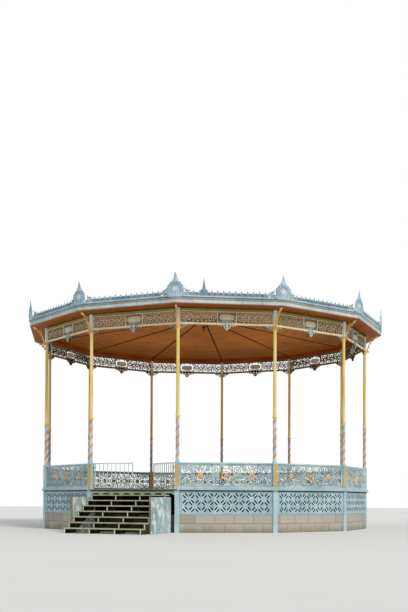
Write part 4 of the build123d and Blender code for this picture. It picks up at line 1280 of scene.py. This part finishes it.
seam_across = np.array([-1.35, -0.9, -0.45, 0.0, 0.45, 0.9, 1.35])
seam_start = np.maximum(np.abs(seam_across) / tan(half_turn) + 0.16, 0.34)
seam_depth = np.stack([seam_start, np.full(7, 6.235)], axis=1)
seam_path = np.stack([np.broadcast_to(seam_across[:, None], (7, 2)), seam_depth], axis=2)
seams = bars(seam_path, 0.008, -0.002, 0.026, crown=0.6)
across, depth, lift = seams[0].T
seams = (np.column_stack([across, roof_top(depth) + lift, depth]), seams[1], seams[2])
piece("roof_seams", stand(seams, every_side), [zinc_finish])

# %% Finial
finial_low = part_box("roof_finial")[0][2]
finial_rows = np.array([
    (0.148, 0.000), (0.148, 0.050), (0.136, 0.062), (0.140, 0.080), (0.112, 0.105), (0.096, 0.150), (0.098, 0.200),
    (0.112, 0.250), (0.136, 0.290), (0.146, 0.330), (0.149, 0.400), (0.149, 0.500), (0.146, 0.530), (0.126, 0.560),
    (0.096, 0.580), (0.074, 0.596), (0.064, 0.625), (0.049, 0.710), (0.031, 0.820), (0.017, 0.920), (0.006, 1.012),
])
finial = lathe(finial_rows + [0, finial_low], 28)
piece("turned_finial", finial, [crest_paint], ["roof_finial"], smooth=40)

# %% Lamp
lamp_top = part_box("ceiling_lamp")[1][2]
lamp_sides, drop_end, brass_end = 24, 4, 7
lamp_rows = np.array([
    (0.015, -0.520), (0.027, -0.512), (0.030, -0.480), (0.034, -0.430), (0.046, -0.400), (0.066, -0.385),
    (0.084, -0.365), (0.089, -0.350), (0.089, -0.340), (0.089, -0.325), (0.078, -0.318), (0.070, -0.300),
    (0.056, -0.285), (0.020, -0.274), (0.012, -0.260), (0.012, -0.040), (0.030, -0.026), (0.044, -0.010), (0.044, 0.0),
])
lamp = lathe(lamp_rows + [0, lamp_top], lamp_sides)
lamp[2][: brass_end * lamp_sides] = 2
lamp[2][: drop_end * lamp_sides] = 1
piece("turned_lamp", lamp, [lamp_black, lamp_brown, gilding], ["ceiling_lamp"], smooth=40)

# %% [markdown]
# ## Stair
# The strings are painted black as painted shade, so the open risers look black, and under every tread a narrow
# pale facing covers the string's end grain. The facing is one plate, copied to four strings and seven steps. Trim
# is bedded half a millimetre into what carries it, so that no two faces lie in one plane.

# %% Strings and their facings
# Painted shade: the strings are black so that the open risers look dark.
dress(["stringers"], shaded_paint, 0.003)
deck_depth, deck_top, riser, going = 5.8906, 1.360, 0.170, 0.279
bed, tread_thick = 0.0005, 0.036
facing_height = riser - tread_thick
string_across = np.array([-1.29, -0.43, 0.43, 1.29])
place_across, place_step = np.meshgrid(string_across, np.arange(1, 8))
facing_places = np.stack([
    place_across, deck_top - riser * place_step - tread_thick - facing_height, deck_depth + going * place_step - bed,
], axis=-1).reshape(-1, 3)
string_facing = plates([(-0.019, 0.019, 0.0, facing_height)], 0.0, 0.004, 0.001)
piece("string_facings", stand(copies(string_facing, facing_places), 0.0), [shield_paint])

# %% [markdown]
# The deck's edge over the stair has a rounded nosing, whose hollow underside is painted black as painted shade.
# Round the other sides a black strip, a painted shadow, lies in the joint between the kerb and the lattice and under
# the kerb's nose.

# %% Nosing and the kerb's painted shadow
nosing_outline = [
    (-bed, -0.062), (0.012, -0.062), (0.012, -0.030), (0.018, -0.026), (0.018, -0.006),
    (0.012, 0.0015), (-bed, 0.0015),
]
shaded_hollow_edges = slice(1, 3)
nosing = moulding([(deck_depth + depth, deck_top + height) for depth, height in nosing_outline], kerb_setback)
# Painted shade: the hollow under the nosing is black.
nosing[2][shaded_hollow_edges] = 1
piece("deck_nosing", stand(nosing, 0.0), [deck_finish, shaded_paint])
# Painted shadow: a black strip on the lattice's top rail and on the kerb's underside.
joint_face, joint_out = lattice_front + 0.0045, lattice_front + 0.0085
nose_depth = deck_depth + 0.0445
kerb_shadow_strip = joined(
    moulding([(joint_face, 1.302), (joint_out, 1.302), (joint_out, 1.321), (joint_face, 1.321)], kerb_setback),
    moulding([(deck_depth, 1.3200), (nose_depth, 1.3376), (nose_depth, 1.3390), (deck_depth, 1.3214)], kerb_setback),
)
piece("kerb_shadow_strip", stand(kerb_shadow_strip, panel_sides), [shaded_paint])

# %% [markdown]
# Each cheek has a framed outer face with rings and curls, as flat cast plates have. Half of the relief is drawn as
# seen from the side and mirrored, the whole is turned onto the right cheek, and its mirror image is the left one.

# %% Cheek reliefs
cheek_face, cheek_front, cheek_high = 1.375, 7.3006, 1.109
cheek_back, cheek_stile = deck_depth + 0.008, 0.060
foot_low, foot_high, head_low, head_high = 0.010, 0.090, cheek_high - 0.075, cheek_high - 0.004
cheek_edges = [
    (cheek_back, cheek_front, head_low, head_high), (cheek_back, cheek_front, foot_low, foot_high),
    (cheek_back, cheek_back + cheek_stile, foot_high, head_low),
    (cheek_front - cheek_stile, cheek_front, foot_high, head_low),
]
cheek_middle = np.array([(cheek_back + cheek_front) / 2, 0.560])
cheek_curls = curls([
    (0.43, 0.30, 0.130, 200, 560), (0.43, -0.30, 0.130, 160, -560), (0.15, 0.34, 0.095, 250, -520),
    (0.44, 0.0, 0.110, 180, 540),
], 26, cheek_middle)
cheek_rings = cheek_middle + np.array([(0.15, -0.33), (0.28, 0.17), (0.28, -0.17)])
half_cheek = joined(
    bars(cheek_curls, 0.014, -bed, 0.009),
    hoops(cheek_rings, [0.080, 0.050, 0.050], 0.012, -bed, 0.009),
)
cheek_boss = lathe([(0.06, 0.0), (0.05, 0.012), (0.02, 0.018)], 14)
cheek_relief = joined(
    plates(cheek_edges, -bed, 0.010, 0.004),
    mirrored(half_cheek, 0, cheek_middle[0]),
    hoops([cheek_middle], [0.190], 0.018, -bed, 0.011, 26),
    hoops([cheek_middle], [0.110], 0.014, -bed, 0.009, 20),
    copies(cheek_boss, at_level(cheek_middle, -bed)),
)
along, up, out = cheek_relief[0].T
right_relief = (np.column_stack([cheek_face + out, -along, up]), cheek_relief[1], cheek_relief[2])
piece("cheek_reliefs", mirrored(right_relief), [cheek_paint])

# %% [markdown]
# ## Floor, camera and light
# The camera stands 35.5 m from the axis and 1.06 m above the ground, a little to the right of the stair. It
# looks almost level, and a shift of the lens brings the roof into the frame, so uprights stay upright.

# %% Camera
camera_azimuth, camera_distance, camera_height = radians(22.77), 35.48, 1.060
camera_pitch, camera_roll = radians(1.14), 0.0043
focal_pixels, picture_height = 941.0, 612.0
horizon_below_middle, axis_aside = 193.06, 0.8
camera_data = bpy.data.cameras.new("camera")
camera_data.lens = focal_pixels / picture_height * camera_data.sensor_width
camera_data.shift_y = (horizon_below_middle - focal_pixels * tan(camera_pitch)) / picture_height
camera_data.shift_x = axis_aside / picture_height
camera_data.clip_end = 400.0
camera = bpy.data.objects.new("camera", camera_data)
bpy.context.scene.collection.objects.link(camera)
camera.location = (camera_distance * sin(camera_azimuth), -camera_distance * cos(camera_azimuth), camera_height)
facing = Matrix.Rotation(camera_azimuth, 3, "Z") @ Matrix.Rotation(pi / 2 + camera_pitch, 3, "X")
camera.rotation_euler = (facing @ Matrix.Rotation(camera_roll, 3, "Z")).to_euler()
bpy.context.scene.camera = camera
print("lens", round(camera_data.lens, 2), "mm, shift", round(camera_data.shift_y, 4))

# %% [markdown]
# A pale floor carries the shadow. Light comes from a broad soft sky and one large, soft sun to the right of
# the camera, which is what open shade under high trees looks like. The camera, and whatever glossy paint
# mirrors, sees a white background in place of the sky, which adds no light to the rest.

# %% Floor
floor_radius, floor_sides, floor_height = 90, 64, -0.001
floor_mesh = bpy.data.meshes.new("studio_floor")
floor_points = at_level(on_circle(floor_sides, floor_radius), floor_height)
floor_mesh.from_pydata(floor_points.tolist(), [], [list(range(floor_sides))])
floor = bpy.data.objects.new("studio_floor", floor_mesh)
bpy.context.scene.collection.objects.link(floor)
floor_finish = Finish("studio_floor")
floor_tone = floor_finish.mix(floor_finish.noise(0.4, 2.0), (0.80, 0.80, 0.79, 1.0), (0.86, 0.86, 0.85, 1.0))
floor_finish.surface(floor_tone, 0.9, floor_finish.noise(60.0, 2.0), 0.0005)
floor_mesh.materials.append(floor_finish.material)
print("the floor is", 2 * floor_radius, "m across")

# %% Sky
world = bpy.data.worlds.new("studio")
bpy.context.scene.world = world
world.use_nodes = True
sky_nodes, sky_links = world.node_tree.nodes, world.node_tree.links
sky = sky_nodes["Background"]
sky.inputs["Color"].default_value = (0.92, 0.96, 1.0, 1.0)
sky.inputs["Strength"].default_value = 0.55
backdrop = sky_nodes.new("ShaderNodeBackground")
backdrop.inputs["Color"].default_value = (1.0, 1.0, 1.0, 1.0)
ray = sky_nodes.new("ShaderNodeLightPath")
either = sky_nodes.new("ShaderNodeMixShader")
ray_kinds = ("Is Camera Ray", "Is Glossy Ray", "Is Transmission Ray")
looks = [Signal(world.node_tree, ray.outputs[kind]) for kind in ray_kinds]
plug(world.node_tree, either.inputs[0], looks[0] + looks[1] + looks[2])
sky_links.new(sky.outputs[0], either.inputs[1])
sky_links.new(backdrop.outputs[0], either.inputs[2])
sky_links.new(either.outputs[0], sky_nodes["World Output"].inputs["Surface"])
print("sky strength", round(sky.inputs["Strength"].default_value, 2))

# %% Sun
sun_data = bpy.data.lights.new("soft_sun", "SUN")
sun_data.energy = 1.7
sun_data.angle = radians(20)
sun_data.color = (1.0, 0.96, 0.88)
sun = bpy.data.objects.new("soft_sun", sun_data)
bpy.context.scene.collection.objects.link(sun)
sun.rotation_euler = (radians(52), 0.0, radians(58))
bpy.context.scene.view_settings.view_transform = "Standard"
print("sun strength", sun_data.energy)

# %% [markdown]
# The pieces made and the triangles they add. The visual model has to stay inside the solid
# model's box.

# %% Pieces and triangles
print("pieces:", len(made), "triangles added:", sum(made.values()))
